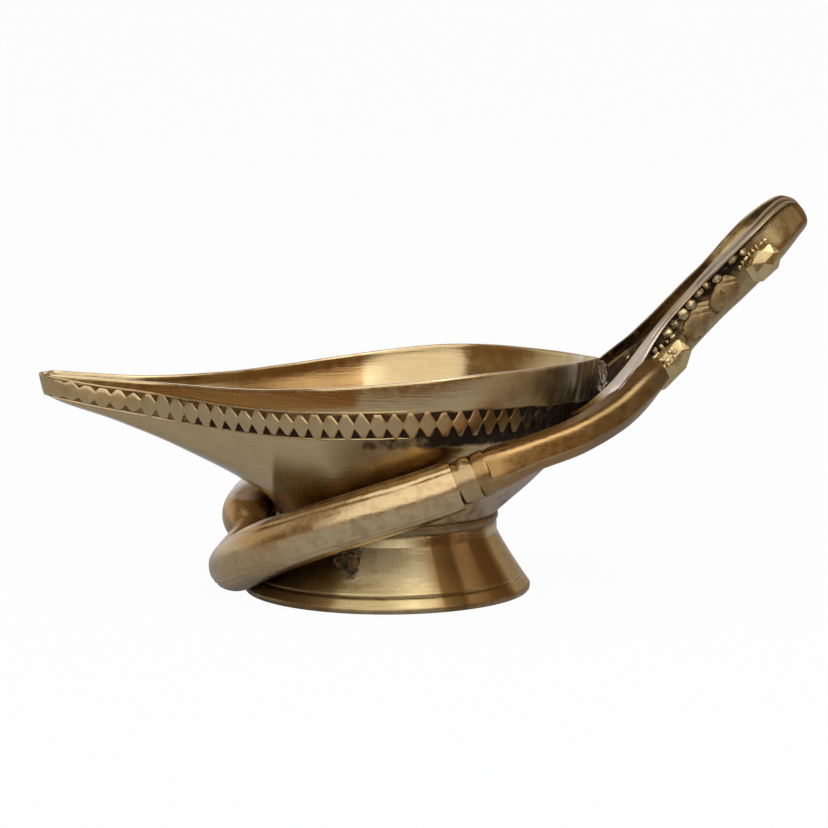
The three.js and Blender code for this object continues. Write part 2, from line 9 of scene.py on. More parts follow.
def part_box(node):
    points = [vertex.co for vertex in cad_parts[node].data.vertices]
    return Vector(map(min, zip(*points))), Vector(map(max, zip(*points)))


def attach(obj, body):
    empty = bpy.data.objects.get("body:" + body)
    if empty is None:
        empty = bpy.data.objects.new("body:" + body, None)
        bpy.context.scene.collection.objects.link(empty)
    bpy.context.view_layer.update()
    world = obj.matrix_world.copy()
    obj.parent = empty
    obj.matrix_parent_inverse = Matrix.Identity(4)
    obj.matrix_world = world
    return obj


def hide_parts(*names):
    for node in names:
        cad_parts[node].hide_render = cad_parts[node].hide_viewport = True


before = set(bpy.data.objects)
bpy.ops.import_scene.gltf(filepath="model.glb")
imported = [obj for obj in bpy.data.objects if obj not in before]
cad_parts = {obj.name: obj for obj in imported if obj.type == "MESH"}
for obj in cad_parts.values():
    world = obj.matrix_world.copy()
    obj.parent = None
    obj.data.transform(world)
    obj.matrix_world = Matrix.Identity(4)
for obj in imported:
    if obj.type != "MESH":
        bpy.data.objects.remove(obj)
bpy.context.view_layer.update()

# The lamp is worked out in millimetres, from the axis of its foot
MM = 0.001
SCENE = bpy.context.scene


def box_mm(node):
    low, high = (np.array(shaded_corner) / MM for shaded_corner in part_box(node))
    return low, high


FOOT_LOW, FOOT_HIGH = box_mm("foot")
AXIS = np.array([(FOOT_LOW[0] + FOOT_HIGH[0]) / 2, 0, 0])
BOWL_LOW, BOWL_HIGH = (shaded_corner - AXIS for shaded_corner in box_mm("bowl"))

FOOT_RIM = (FOOT_HIGH[0] - FOOT_LOW[0]) / 2
FOOT_HEIGHT = FOOT_HIGH[2]
FOOT_WAIST = 18.7
FOOT_WAIST_START = 10.2
FOOT_WALL = 2.0
FOOT_EDGE = 0.9
GROOVE_Z = 2.7
GROOVE_DEPTH = 0.22
GROOVE_WIDTH = 0.16

BOWL_BOTTOM = BOWL_LOW[2]
RIM_HEIGHT = BOWL_HIGH[2]
END_X = BOWL_HIGH[0]
TIP_X = BOWL_LOW[0]
LEAF_X = TIP_X + 17.5
FLARE_X = TIP_X + 9.0
WIDE_X = 5.3
HALF_WIDTH = 23.6
NECK_RADIUS = FOOT_WAIST + 0.2
NECK_CHAMFER = 1.0
BOWL_WALL = 1.7
KEEL_FADE_X = -8.0
SPOUT_DROP = 3.7
TIP_RISE = 1.5

# Keel under the spout: share of the height against share of the reach from neck to tip
KEEL = np.array(
    [[0, 0], [0.1, 0.03], [0.29, 0.22], [0.5, 0.47], [0.69, 0.74], [0.78, 0.93], [0.86, 1], [1, 1]]
)

# Lozenge border
BORDER_HEIGHT = 4.3
BORDER_PITCH = 2.7
BORDER_PROUD = 0.38
BORDER_END_X = 31.0

# How far the border lies below the rim
DROP_AT_TIP = 1.9
DROP_TO_END = 7.2
DROP_POWER = 0.72

# Bar round the foot: angle, reach outside the foot's rim, climb as a share of the collars, radius
LOOP = [
    [-75, 3.5, 0.87, 4.65],
    [-94, 2.1, 0.74, 4.75],
    [-117, 1.7, 0.58, 4.8],
    [-139, 2.0, 0.415, 5.1],
    [-159, 2.0, 0.255, 4.95],
    [-172, 1.6, 0.21, 4.5],
    [-184, -1.7, 0.37, 4.7],
    [-197, 0.0, 0.495, 6.3],
    [-217, 1.0, 0.60, 4.9],
    [-242, 1.2, 0.66, 4.7],
    [-266, 2.1, 0.75, 4.7],
    [-285, 3.5, 0.87, 4.65],
]
COLLAR_AHEAD = 14.8
COLLAR_OUT = FOOT_RIM + 2.4
COLLAR_HEIGHT = FOOT_HEIGHT + 10.9
COLLAR_RISE = math.radians(23.5)
RING_WIDTH = 3.4

# Stem: share of the way from collar to handle, bow outward, sag, radius
STEM = [
    [0.28, 2.0, 0.7, 3.1],
    [0.56, 2.2, 1.9, 3.1],
    [0.82, 1.6, 1.7, 3.1],
]

# End of the stem along the handle's side: X past the bowl's end, depth below the crest, out, radius
STEM_END = [
    [3.4, 4.3, -1.0, 3.0],
    [6.0, 4.5, -1.8, 2.8],
    [8.2, 4.6, -2.6, 2.4],
    [10.5, 4.7, -3.0, 1.8],
]

# Handle: X past the bowl's end, Z over its rim, half dish, half width, depth, crest drop, strip drop
HANDLE = [
    [-9.5, -11.0, 5.0, 7.0, 3.4, 0, 0.7],
    [-7.0, -9.2, 9.0, 11.0, 4.4, 0, 0.8],
    [-3.7, -6.6, 14.0, 16.5, 6.2, 0, 1.2],
    [0.0, -3.0, 16.6, 19.4, 7.2, 0, 2.0],
    [3.2, 0.1, 14.2, 17.0, 7.2, 0, 2.0],
    [5.7, 2.7, 10.6, 12.8, 7.3, 0, 1.3],
    [9.7, 7.2, 7.4, 9.4, 7.4, 0, 0.7],
    [14.6, 12.5, 5.9, 8.6, 7.5, 0, 0.6],
    [18.0, 16.1, 4.6, 9.6, 7.6, 0, 0.6],
    [21.2, 19.5, 6.4, 10.5, 7.6, 0, 0.6],
    [24.5, 22.9, 6.8, 10.5, 7.4, 0, 0.6],
    [27.5, 25.9, 4.2, 8.2, 7.2, 0.2, 0.7],
    [29.5, 27.7, 2.4, 5.9, 7.0, 0.7, 0.8],
    [30.7, 28.8, 1.4, 4.0, 6.0, 2.2, 0.8],
]

# Columns of a row on these curves: a place, then a bar's radius or the numbers of the handle
RADIUS = 3
DISH = 3
HALF = 4
CREST = 6
STRIP = 7

NEAR = -1
FAR = 1
SIDES = (("near", NEAR), ("far", FAR))


# Shapes


def rising(value, low, high):
    """From 0 at low to 1 at high, eased at both ends."""
    share = np.clip((value - low) / (high - low), 0, 1)
    return share * share * (3 - 2 * share)


def falling(value, low, high):
    return 1 - rising(value, low, high)


def most(*layers):
    return np.maximum.reduce(layers)


def unit(vector):
    return vector / np.linalg.norm(vector)


def turns(count):
    """Angles evenly round a circle."""
    return 2 * np.pi * np.arange(count) / count


def polar(radius, angle, z):
    """A place round the foot's axis; the angle is in radians."""
    return [radius * math.cos(angle), radius * math.sin(angle), z]


def spokes(angles, first, second):
    """Unit steps out of a middle at each angle, from the first way toward the second."""
    return np.outer(np.cos(angles), first) + np.outer(np.sin(angles), second)


def waver(*place):
    """Smooth noise from -1 to 1."""
    return noise.noise(Vector(place))


def wobble(point, scale, seed=0.0):
    """Smooth noise at a point in millimetres; scale is the size of its features."""
    return waver(point[0] / scale + seed, point[1] / scale - seed, point[2] / scale)


def wobbles(places, scale, seed=0.0):
    return np.array([wobble(place, scale, seed) for place in places])


def apart(angle, other):
    """Degrees from the other angle, from -180 to 180."""
    return (angle - other + 180) % 360 - 180


def bearing(places):
    """Angle of places round the foot in degrees; -90 faces the camera."""
    return np.degrees(np.arctan2(places[:, 1], places[:, 0]))


def scattered(chance, shape, limit):
    """Random numbers round 0, none further out than the limit."""
    return chance.standard_normal(shape).clip(-limit, limit)


def toward_handle(amount, low, high):
    """A mark that grows from X low to X high."""
    return lambda places: amount * rising(places[:, 0], low, high)


def evenly(amount):
    """A mark that is the same all over a piece."""
    return lambda places: np.full(len(places), amount)


def hump(offset, width):
    """1 where the offset is nothing, falling away on both sides."""
    return np.exp(-((offset / width) ** 2))


def lengths_along(path):
    """Length of a path up to each of its points."""
    steps = np.linalg.norm(np.diff(path, axis=0), axis=1)
    return np.concatenate([[0], np.cumsum(steps)])


def rows_curve(rows):
    """Smooth curve through rows of numbers: a place and whatever else each row holds."""
    table = np.array(rows, float)
    last = len(table) - 1

    def at(t):
        place = min(max(t, 0), 1) * last
        i = min(int(place), last - 1)
        share = place - i
        before, start, end, after = (table[min(max(k, 0), last)] for k in (i - 1, i, i + 1, i + 2))
        slope_start = (end - before) / 2
        slope_end = (after - start) / 2
        bend = 2 * (start - end) + slope_start + slope_end
        rest = 3 * (end - start) - 2 * slope_start - slope_end
        return start + share * (slope_start + share * (rest + share * bend))

    return at


def axes_at(curve, t):
    """Unit vectors along, across and over a curve that runs mostly sideways."""
    step = 0.002
    along = unit(curve(min(t + step, 1))[:3] - curve(max(t - step, 0))[:3])
    across = unit(np.cross([0, 0, 1], along))
    return along, across, np.cross(along, across)


def loft(rings, closed=False):
    """Quads between equal rings of points; the ends are capped unless the loft closes on itself."""
    count = len(rings[0])
    faces = []
    for r in range(len(rings) if closed else len(rings) - 1):
        a = r * count
        b = ((r + 1) % len(rings)) * count
        for i in range(count):
            j = (i + 1) % count
            faces.append((a + i, a + j, b + j, b + i))
    if not closed:
        faces.append(tuple(reversed(range(count))))
        faces.append(tuple(range((len(rings) - 1) * count, len(rings) * count)))
    return np.concatenate(rings), faces


def joined(parts):
    """Several (points, faces) as one."""
    points = []
    faces = []
    start = 0
    for part_points, part_faces in parts:
        points.append(part_points)
        faces.extend(tuple(start + i for i in face) for face in part_faces)
        start += len(part_points)
    return np.concatenate(points), faces


def mesh_of(name, points, faces):
    mesh = bpy.data.meshes.new(name)
    mesh.from_pydata(((np.asarray(points) + AXIS) * MM).tolist(), [], faces)
    mesh.validate()
    tidy = bmesh.new()
    tidy.from_mesh(mesh)
    bmesh.ops.recalc_face_normals(tidy, faces=tidy.faces)
    tidy.to_mesh(mesh)
    tidy.free()
    return mesh


def placed(name, data):
    """A new object in the scene."""
    made = bpy.data.objects.new(name, data)
    SCENE.collection.objects.link(made)
    return made


def points_and_faces(block):
    """What a bmesh holds, which is then freed."""
    block.verts.index_update()
    points = np.array([vertex.co for vertex in block.verts])
    faces = [tuple(vertex.index for vertex in face.verts) for face in block.faces]
    block.free()
    return points, faces


# Surface condition: layers of wear, soil and stains, which also hold painted shade, highlights and
# reflections, kept at each point of a mesh


LAYERS = ("wear_and_highlight", "soil", "tarnish_and_shade", "pale", "amber", "haze")
HOLLOW_GAIN = 5


def numbers_of(items, name, wide, kind=np.float64):
    """One property of many items, as rows of numbers."""
    values = np.empty(len(items) * wide, kind)
    items.foreach_get(name, values)
    return values.reshape(-1, wide)


def hollowness(mesh):
    """Places in millimetres, and how far each lies below its neighbours along its normal."""
    count = len(mesh.vertices)
    places = numbers_of(mesh.vertices, "co", 3)
    normals = numbers_of(mesh.vertex_normals, "vector", 3, np.float32)
    a, b = numbers_of(mesh.edges, "vertices", 2, np.int64).T
    run = places[b] - places[a]
    length = np.maximum(np.linalg.norm(run, axis=1), 1e-9)
    total = np.zeros(count)
    number = np.bincount(a, minlength=count) + np.bincount(b, minlength=count)
    np.add.at(total, a, (run * normals[a]).sum(1) / length)
    np.add.at(total, b, (-run * normals[b]).sum(1) / length)
    value = total / np.maximum(number, 1)
    for _ in range(2):
        spread = value * number
        np.add.at(spread, a, value[b])
        np.add.at(spread, b, value[a])
        value = spread / np.maximum(2 * number, 1)
    return places / MM - AXIS, value


def condition(mesh, marks):
    """Wear on edges and soil in hollows; marks says where more of a layer lies, including painted shade,
    highlights and reflections.
    """
    places, hollow = hollowness(mesh)
    found = {"wear_and_highlight": -hollow * HOLLOW_GAIN, "soil": hollow * HOLLOW_GAIN}
    for name in LAYERS:
        values = np.clip(found.get(name, np.zeros(len(places))), 0, 1)
        if name in marks:
            values = np.maximum(values, np.clip(marks[name](places), 0, 1))
        layer = mesh.attributes.new(name, "FLOAT", "POINT")
        layer.data.foreach_set("value", values.astype(np.float32))


def dress(name, mesh, nodes, material, slot="brass", crease=32, **marks):
    """A finished piece from a mesh, or from points and faces, with its wear, soil and painted light where
    marks say.
    """
    if isinstance(mesh, tuple):
        mesh = mesh_of(name, *mesh)
    mesh.materials.clear()
    mesh.materials.append(material)
    mesh.shade_smooth()
    mesh.set_sharp_from_angle(angle=math.radians(crease))
    condition(mesh, marks)
    piece = placed(name, mesh)
    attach(piece, "root")
    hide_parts(*nodes)


# Materials


def nodes_of(owner):
    """The emptied node tree of a material or a world."""
    owner.use_nodes = True
    owner.node_tree.nodes.clear()
    return owner.node_tree


def add(tree, kind, inputs=None, **settings):
    """A new node; each input is a number, a colour or the socket that feeds it."""
    made = tree.nodes.new("ShaderNode" + kind)
    for key, value in settings.items():
        setattr(made, key, value)
    for key, value in (inputs or {}).items():
        if isinstance(value, bpy.types.NodeSocket):
            tree.links.new(value, made.inputs[key])
        else:
            made.inputs[key].default_value = value
    return made


def grain(place, scale, detail, rough=0.55, stretch=(1, 1, 1)):
    """Noise from 0 to 1; scale is in features per metre."""
    tree = place.id_data
    spread = add(tree, "Mapping", {"Vector": place, "Scale": stretch})
    inputs = {"Vector": spread.outputs[0], "Scale": scale, "Detail": detail, "Roughness": rough}
    return add(tree, "TexNoise", inputs).outputs[0]


def ranged(value, low, high, to_low=0.0, to_high=1.0):
    """The value eased from one range to another."""
    inputs = {"Value": value, "From Min": low, "From Max": high, "To Min": to_low, "To Max": to_high}
    return add(value.id_data, "MapRange", inputs, interpolation_type="SMOOTHSTEP").outputs[0]


def mixed(share, first, second):
    inputs = {0: share, 6: first, 7: second}
    return add(share.id_data, "Mix", inputs, data_type="RGBA").outputs[2]


def maths(operation, first, second):
    return add(first.id_data, "Math", {0: first, 1: second}, operation=operation).outputs[0]


def plus(first, second):
    return maths("ADD", first, second)


def times(first, second):
    return maths("MULTIPLY", first, second)


def colour(red, green, blue):
    return (red, green, blue, 1.0)


# Layer colours: the worn, pale and amber colours also serve as painted highlights and reflections, and the
# tarnish and soil colours also as painted shade.
WORN_AND_HIGHLIGHT = colour(0.58, 0.46, 0.26)
PALE = colour(0.60, 0.55, 0.50)
# Colour of the painted highlight on the foot.
LIT_BRASS = colour(0.68, 0.55, 0.31)
AMBER = colour(0.31, 0.142, 0.03)
TARNISH_AND_SHADE = colour(0.135, 0.07, 0.018)
SOIL_AND_SHADE = colour(0.026, 0.015, 0.007)

# Depth of each kind of fine relief, in metres
SWELL_DEPTH = 0.0004
STREAK_DEPTH = 0.00008
SPECK_DEPTH = 0.00004
CRUST_DEPTH = 0.00025


def metal(
    name, bright, deep, rough, streak=(1, 1, 1), streaked=0.3, pits=0.0, waves=0.25, pale=PALE, wear_and_highlight=0.8
):
    """Aged brass: blotched patina, fine streaks, worn edges and dark soil in the hollows, with painted shade,
    highlights and reflections from the layers.
    """
    material = bpy.data.materials.new(name)
    tree = nodes_of(material)
    place = add(tree, "TexCoord").outputs["Object"]
    layer = {key: add(tree, "Attribute", attribute_name=key).outputs["Fac"] for key in LAYERS}

    blotch = ranged(grain(place, 60, 4), 0.32, 0.7)
    mottle = ranged(grain(place, 480, 6, 0.62), 0.28, 0.74)
    speck = grain(place, 2600, 3, 0.6)
    streaks = grain(place, 700, 5, 0.62, streak)
    crust = grain(place, 1500, 4, 0.7)
    swell = grain(place, 110, 2, 0.4)

    tone = times(plus(plus(blotch, mottle), ranged(streaks, 0.3, 0.7)), 0.333)
    body = mixed(tone, colour(*deep), colour(*bright))
    body = mixed(times(layer["pale"], 0.9), body, pale)
    body = mixed(layer["amber"], body, AMBER)
    # The wear layer is rubbed edges, and on the bar's front it is also a painted highlight.
    body = mixed(times(layer["wear_and_highlight"], ranged(mottle, 0.1, 0.6, 0.3, wear_and_highlight)), body, WORN_AND_HIGHLIGHT)
    # The tarnish layer darkens for real tarnish, and also for painted shade and painted dark reflections.
    stain_and_shade = ranged(plus(layer["tarnish_and_shade"], times(plus(blotch, -0.5), 0.25)), 0.1, 0.95)
    stain_and_shade = times(stain_and_shade, ranged(layer["tarnish_and_shade"], 0.0, 0.15))
    body = mixed(stain_and_shade, body, TARNISH_AND_SHADE)
    # The soil layer is dirt in hollows. In the border's upper notches and the handle's dish it is also
    # painted shadow.
    dark = ranged(plus(layer["soil"], times(plus(mottle, -0.5), 0.35)), 0.3, 0.85)
    body = mixed(dark, body, SOIL_AND_SHADE)

    polish = ranged(mottle, 0.0, 1.0, rough - 0.04, rough + 0.06)
    for dulling, share in ((dark, 0.4), (stain_and_shade, 0.08), (layer["haze"], 0.3)):
        polish = plus(polish, times(dulling, share))

    relief = {}
    for height, depth, strength in (
        (swell, SWELL_DEPTH, waves),
        (streaks, STREAK_DEPTH, streaked),
        (speck, SPECK_DEPTH, 0.15 + pits),
        (times(dark, crust), CRUST_DEPTH, 0.6),
    ):
        inputs = {"Height": height, "Distance": depth, "Strength": strength, **relief}
        relief = {"Normal": add(tree, "Bump", inputs).outputs[0]}

    # Pale marks are partly solder smear and partly painted pale reflection and highlight. Both lower the
    # metallic share.
    solder_and_sheen = ranged(layer["pale"], 0.0, 1.0, 1.0, 0.55)
    metallic = times(ranged(dark, 0.2, 1.0, 1.0, 0.85), solder_and_sheen)
    inputs = {"Base Color": body, "Metallic": metallic, "Roughness": polish, **relief}
    shader = add(tree, "BsdfPrincipled", inputs)
    add(tree, "OutputMaterial", {"Surface": shader.outputs[0]})
    return material


UPRIGHT = (0.2, 0.2, 3)
BOWL_METAL = metal("bowl_metal", (0.50, 0.38, 0.20), (0.39, 0.285, 0.135), 0.17, UPRIGHT, 0.35, waves=0.2)
BORDER_METAL = metal("border_metal", (0.46, 0.35, 0.18), (0.36, 0.26, 0.12), 0.36, pits=0.2, wear_and_highlight=0.2)
FOOT_METAL = metal(
    "foot_metal", (0.44, 0.34, 0.17), (0.33, 0.25, 0.11), 0.3, (0.2, 0.2, 2.2), 0.4, -0.09, pale=LIT_BRASS
)
BAR_METAL = metal("bar_metal", (0.52, 0.39, 0.20), (0.32, 0.22, 0.10), 0.24, (0.15, 1.5, 1.5), 1.0)
STEM_METAL = metal("stem_metal", (0.38, 0.265, 0.115), (0.23, 0.15, 0.058), 0.29, (0.3, 1.5, 1.5), 0.7)
HANDLE_METAL = metal("handle_metal", (0.34, 0.245, 0.11), (0.22, 0.15, 0.065), 0.29, pits=0.3)
RELIEF_METAL = metal("relief_metal", (0.36, 0.25, 0.11), (0.15, 0.10, 0.045), 0.36, pits=0.6, waves=0.6)
PEARL_METAL = metal("pearl_metal", (0.42, 0.32, 0.17), (0.22, 0.16, 0.08), 0.36, pits=0.5)
STUD_METAL = metal("stud_metal", (0.55, 0.44, 0.21), (0.36, 0.26, 0.11), 0.22, pits=0.4, waves=0.4)
SOLDER_METAL = metal("solder_metal", (0.26, 0.17, 0.06), (0.05, 0.03, 0.02), 0.42, pits=0.7, wear_and_highlight=0.3)
FILL_METAL = metal("fill_metal", (0.34, 0.29, 0.24), (0.10, 0.075, 0.055), 0.44, (3, 3, 0.3), 0.4, wear_and_highlight=0.0)


# Bowl


def leaf_width(share, power):
    return HALF_WIDTH * np.cos(np.pi / 2 * np.clip(share, 0, 1)) ** power


def rim_half_width(x):
    """Round end, leaf-shaped body and narrow spout, blended where leaf and spout meet."""
    spout_root = 3.4
    spout_tip = 2.5
    blend = 2.2
    fade_x = LEAF_X + 25
    round_end = leaf_width((x - WIDE_X) / (END_X - WIDE_X), 0.85)
    leaf = leaf_width((WIDE_X - x) / (WIDE_X - FLARE_X), 1.5)
    along = np.clip((x - TIP_X) / (LEAF_X - TIP_X), 0, 1)
    past = np.maximum(spout_tip - (x - TIP_X), 0) / spout_tip
    spout = (spout_tip + along * (spout_root - spout_tip)) * np.sqrt(np.maximum(1 - past**2, 0))
    spout = spout * falling(x, fade_x, WIDE_X)
    return np.where(x >= WIDE_X, round_end, (leaf**blend + spout**blend) ** (1 / blend))


def rim_z(x):
    """Height of the rim: low along the spout, with a raised tip that ends in a small lip."""
    spout_share = 0.3
    lip_length = 1.6
    lip_drop = 0.35
    share = (x - TIP_X) / (END_X - TIP_X)
    lift = rising(share, spout_share, 0.85)
    curl = np.maximum(0, 1 - share / spout_share) ** 2
    lip = np.clip(1 - (x - TIP_X) / lip_length, 0, 1) ** 2
    return RIM_HEIGHT - SPOUT_DROP * (1 - lift) + TIP_RISE * curl - lip_drop * lip


def rim_outline(inset):
    """Closed outline of the rim as a function of the share of its length, from the round end."""
    turn = np.linspace(0, np.pi, 500)
    x = (END_X + TIP_X) / 2 + (END_X - TIP_X) / 2 * np.cos(turn)
    y = -rim_half_width(x)
    run = np.gradient(np.stack([x, y], 1), axis=0)
    run[0] = (0, -1)
    run[-1] = (0, 1)
    run /= np.linalg.norm(run, axis=1)[:, None]
    moved = np.stack([x + inset * run[:, 1], np.minimum(y - inset * run[:, 0], 0), rim_z(x)], 1)
    moved[[0, -1], 1] = 0
    back = moved[::-1] * (1, -1, 1)
    outline = np.concatenate([moved, back[1:]])
    length = lengths_along(outline)
    share = length / length[-1]

    def at(u):
        wrapped = np.mod(u, 1)
        return np.stack([np.interp(wrapped, share, outline[:, k]) for k in range(3)], -1)

    return at


def keel_reach(v):
    """The keel line, rounded over its corners."""
    reach = 0.07
    window = np.linspace(-reach, reach, 15)
    near = [np.interp(np.clip(v + d, 0, 1), KEEL[:, 0], KEEL[:, 1]) for d in window]
    rounded = np.mean(near, axis=0)
    ends = np.clip(np.minimum(v, 1 - v) / reach, 0, 1)
    return ends * rounded + (1 - ends) * np.interp(v, KEEL[:, 0], KEEL[:, 1])


def hull(inset, base_radius, base_z):
    """Points of a bowl surface: u goes round it, v climbs from its base circle to its rim."""
    rim = rim_outline(inset)

    def at(u, v):
        u = np.asarray(u, float)
        v = np.broadcast_to(np.asarray(v, float), u.shape)
        top = rim(u)
        angle = -2 * np.pi * u
        keel = falling(top[..., 0], LEAF_X, KEEL_FADE_X)
        full = 1 - (1 - v) ** 2
        reach = full + keel * (keel_reach(v) - full)
        x = base_radius * np.cos(angle) * (1 - reach) + top[..., 0] * reach
        y = base_radius * np.sin(angle) * (1 - reach) + top[..., 1] * reach
        z = base_z * (1 - v) + top[..., 2] * v
        return np.stack([x, y, z], -1)

    return at


BASE_Z = BOWL_BOTTOM + NECK_CHAMFER
UNDER_RIM = 0.985
OUTER_HULL = hull(0, NECK_RADIUS, BASE_Z)


def circle(radius, z, count):
    """A ring of points in the order in which the hull goes round."""
    return np.array([polar(radius, -angle, z) for angle in turns(count)])


def border_share(u):
    """Share of the bowl's height where the border lies."""
    rim = OUTER_HULL(u, 1)
    share = np.maximum((rim[..., 0] - TIP_X) / (END_X - TIP_X), 0)
    drop = DROP_AT_TIP + DROP_TO_END * share**DROP_POWER
    return (rim[..., 2] - drop - BASE_Z) / (rim[..., 2] - BASE_Z)


def border_half(x):
    """Half the height of the border, less toward the tip."""
    return BORDER_HEIGHT / 2 * (0.74 + 0.26 * rising(x, TIP_X + 4, TIP_X + 28))


def from_border(places):
    """Distance of places from the middle line of the border, and whether they lie above it."""
    u = np.linspace(0, 1, 1200)
    line = OUTER_HULL(u, border_share(u))
    line = line[line[:, 0] < BORDER_END_X + 2]
    gap = np.full(len(places), np.inf)
    middle = np.zeros(len(places))
    for point in line[::4]:
        away = np.linalg.norm(places - point, axis=1)
        middle = np.where(away < gap, point[2], middle)
        gap = np.minimum(gap, away)
    return gap, places[:, 2] > middle


def bowl_outside(places):
    """Whether places are on the outer skin: as far out as the hull at their height."""
    levels = 40
    wall = 0.9
    u = np.arange(720) / 720
    turn = bearing(places) % 360
    level = ((places[:, 2] - BASE_Z) / (RIM_HEIGHT - BASE_Z) * (levels - 1)).round()
    edge = np.zeros(len(places))
    for k, v in enumerate(np.linspace(0, 1, levels)):
        ring = OUTER_HULL(u, v)
        ring_turn = bearing(ring) % 360
        order = np.argsort(ring_turn)
        here = np.clip(level, 0, levels - 1) == k
        reach = np.hypot(ring[:, 0], ring[:, 1])[order]
        edge[here] = np.interp(turn[here], ring_turn[order], reach, period=360)
    return np.hypot(places[:, 0], places[:, 1]) > edge - wall


def bowl_soil(places):
    """Dark between the lozenges and under the border, at the neck and on the floor; in the upper notches this
    is painted shadow as well as dirt.
    """
    x, _, z = places.T
    gap, above = from_border(places)
    reach = border_half(x)
    # Upper notches: painted shadow with dirt.
    upper = 0.5 + 0.15 * rising(x, -20, -6) + 0.3 * rising(x, 0, 14)
    lower = 0.95 * rising(x, -36, -28)
    band = falling(gap, reach - 0.1, reach + 0.1) * np.where(above, upper, lower)
    patches = rising(wobbles(places, 2.4, 9), -0.1, 0.25)
    grime = rising(x, -6, -2) * (0.6 + 0.3 * np.maximum(patches, rising(x, 5, 10)))
    below = falling(gap, reach + 1.2, reach + 3.0) * grime * (1 - above) * (z < RIM_HEIGHT - 7.5)
    end = rising(x, 29, 35) * falling(z, RIM_HEIGHT - 2.5, RIM_HEIGHT - 0.4) * 0.25
    neck = falling(z, BOWL_BOTTOM + 0.4, BOWL_BOTTOM + 1.8) * 0.55
    floor = falling(z, BOWL_BOTTOM + 3.5, BOWL_BOTTOM + 9) * 0.4
    return most(most(band, below, neck) * bowl_outside(places), end, floor)


def bowl_shade_and_tarnish(places):
    """Painted dark reflection round the handle's end and inside the bowl, painted shade in a corner of the
    lower body and behind the bar, and brown along the border.
    """
    x, _, z = places.T
    # The two patches toward the handle's end are painted dark reflection.
    end = rising(x, 20, 34) * falling(z, RIM_HEIGHT - 1.6, RIM_HEIGHT - 0.2) * 0.3
    near_end = rising(x, 4, 26) * rising(RIM_HEIGHT - z, 1.5, 8.5) * 0.25
    # The next two patches are painted shade.
    shaded_corner = rising(x, -19.6, -18.4) * falling(x, -13, -2) * falling(z, 19, 29) * 1.1
    bar_shade = rising(x, -18, -4) * falling(z, 27, 33) * (0.65 - 0.45 * rising(x, -2, 8))
    # Inside: a painted dark reflection with a sharp edge.
    inside_reflection = falling(x, -5, -3.2) * rising(x, -34, -20) * 0.25
    gap, _ = from_border(places)
    band = 0.7 * falling(gap, border_half(x) - 0.1, border_half(x) + 0.1)
    inside = np.maximum(end, inside_reflection)
    return np.where(bowl_outside(places), most(end, near_end, shaded_corner, bar_shade, band), inside)


def bowl_warm_reflection(places):
    """Painted warm reflection: a golden strip over the border, a band inside toward the spout, and the belly
    near the handle.
    """
    x, _, z = places.T
    down = rim_z(x) - z
    gap, _ = from_border(places)
    above = gap > border_half(x) - 0.1
    fade = falling(x, -5.5, -3.8)
    strip = fade * rising(x, -55, -36) * rising(down, 0.3, 0.8) * falling(down, 3.0, 4.2)
    inside = falling(x, -5, -3.5) * rising(x, -30, -24) * 0.6
    belly = rising(x, 0, 8) * falling(z, 24, 32) * 0.28
    return np.where(bowl_outside(places), np.maximum(0.95 * strip * above, belly), inside)


def bowl_pale(places):
    """Solder smeared over the end of the bowl in upright streaks, and lower down toward the handle a painted
    pale reflection.
    """
    x, _, z = places.T
    streaks = np.array([waver(place[1] * 0.9, place[2] * 0.12, 5) for place in places])
    # Painted pale reflection of the white surroundings.
    under_reflection = rising(x, 13, 19) * falling(z, 23, 28) * 0.7
    return np.maximum(rising(x, 28, 33) * rising(streaks, -0.25, 0.3) * 0.8, under_reflection)


def bowl_haze(places):
    """Rubbed dull by flux and handling near the handle."""
    return rising(places[:, 0], 11, 21) * bowl_outside(places)


BOWL_MARKS = {
    "soil": bowl_soil,
    "tarnish_and_shade": bowl_shade_and_tarnish,
    "amber": bowl_warm_reflection,
    "pale": bowl_pale,
    "haze": bowl_haze,
}


def make_bowl():
    around = 520
    u = np.arange(around) / around
    floor = 2.4
    cove = 2.4
    rim_wall = 1.0
    low_wall = 2.1
    thin = hull(rim_wall, NECK_RADIUS - BOWL_WALL - cove, BOWL_BOTTOM + floor)
    thick = hull(low_wall, NECK_RADIUS - BOWL_WALL - cove, BOWL_BOTTOM + floor)

    def inner(u, v):
        share = falling(1 - v, 0.0, 0.34)
        return thin(u, v) * share + thick(u, v) * (1 - share)

    climb = np.linspace(0, 1, 62)
    rings = [circle(NECK_RADIUS - NECK_CHAMFER, BOWL_BOTTOM, around)]
    rings += [OUTER_HULL(u, v) for v in (*climb[:-2], UNDER_RIM)]
    edge_out = OUTER_HULL(u, 1.0)
    edge_in = inner(u, 1.0)
    for share, drop in ((0.06, 0.12), (0.2, 0.0), (0.5, 0.0), (0.8, 0.0), (0.94, 0.12)):
        ring = edge_out * (1 - share) + edge_in * share
        ring[:, 2] -= drop
        rings.append(ring)
    rings += [inner(u, v) for v in reversed(climb[:-1])]
    base = rings[-1]
    for share in (0.86, 0.7, 0.5, 0.3, 0.1):
        ring = base * (share, share, 1)
        ring[:, 2] -= 0.5 * (1 - share**2)
        rings.append(ring)
    points, faces = loft(rings)
    rough = wobbles(points, 9)
    points[:, 2] += 0.10 * rough * rising(points[:, 2], BOWL_BOTTOM + 1, BOWL_BOTTOM + 6) - 0.1
    points[:, 2] = np.maximum(points[:, 2], BOWL_BOTTOM)
    dress("bowl_cast", (points, faces), ["bowl"], BOWL_METAL, crease=40, **BOWL_MARKS)


def border_track():
    """Shares round the rim where the border runs, and its length up to each of them."""
    u = np.linspace(0, 1, 4000)
    u = u[OUTER_HULL(u, 1)[:, 0] <= BORDER_END_X]
    return u, lengths_along(OUTER_HULL(u, border_share(u)))


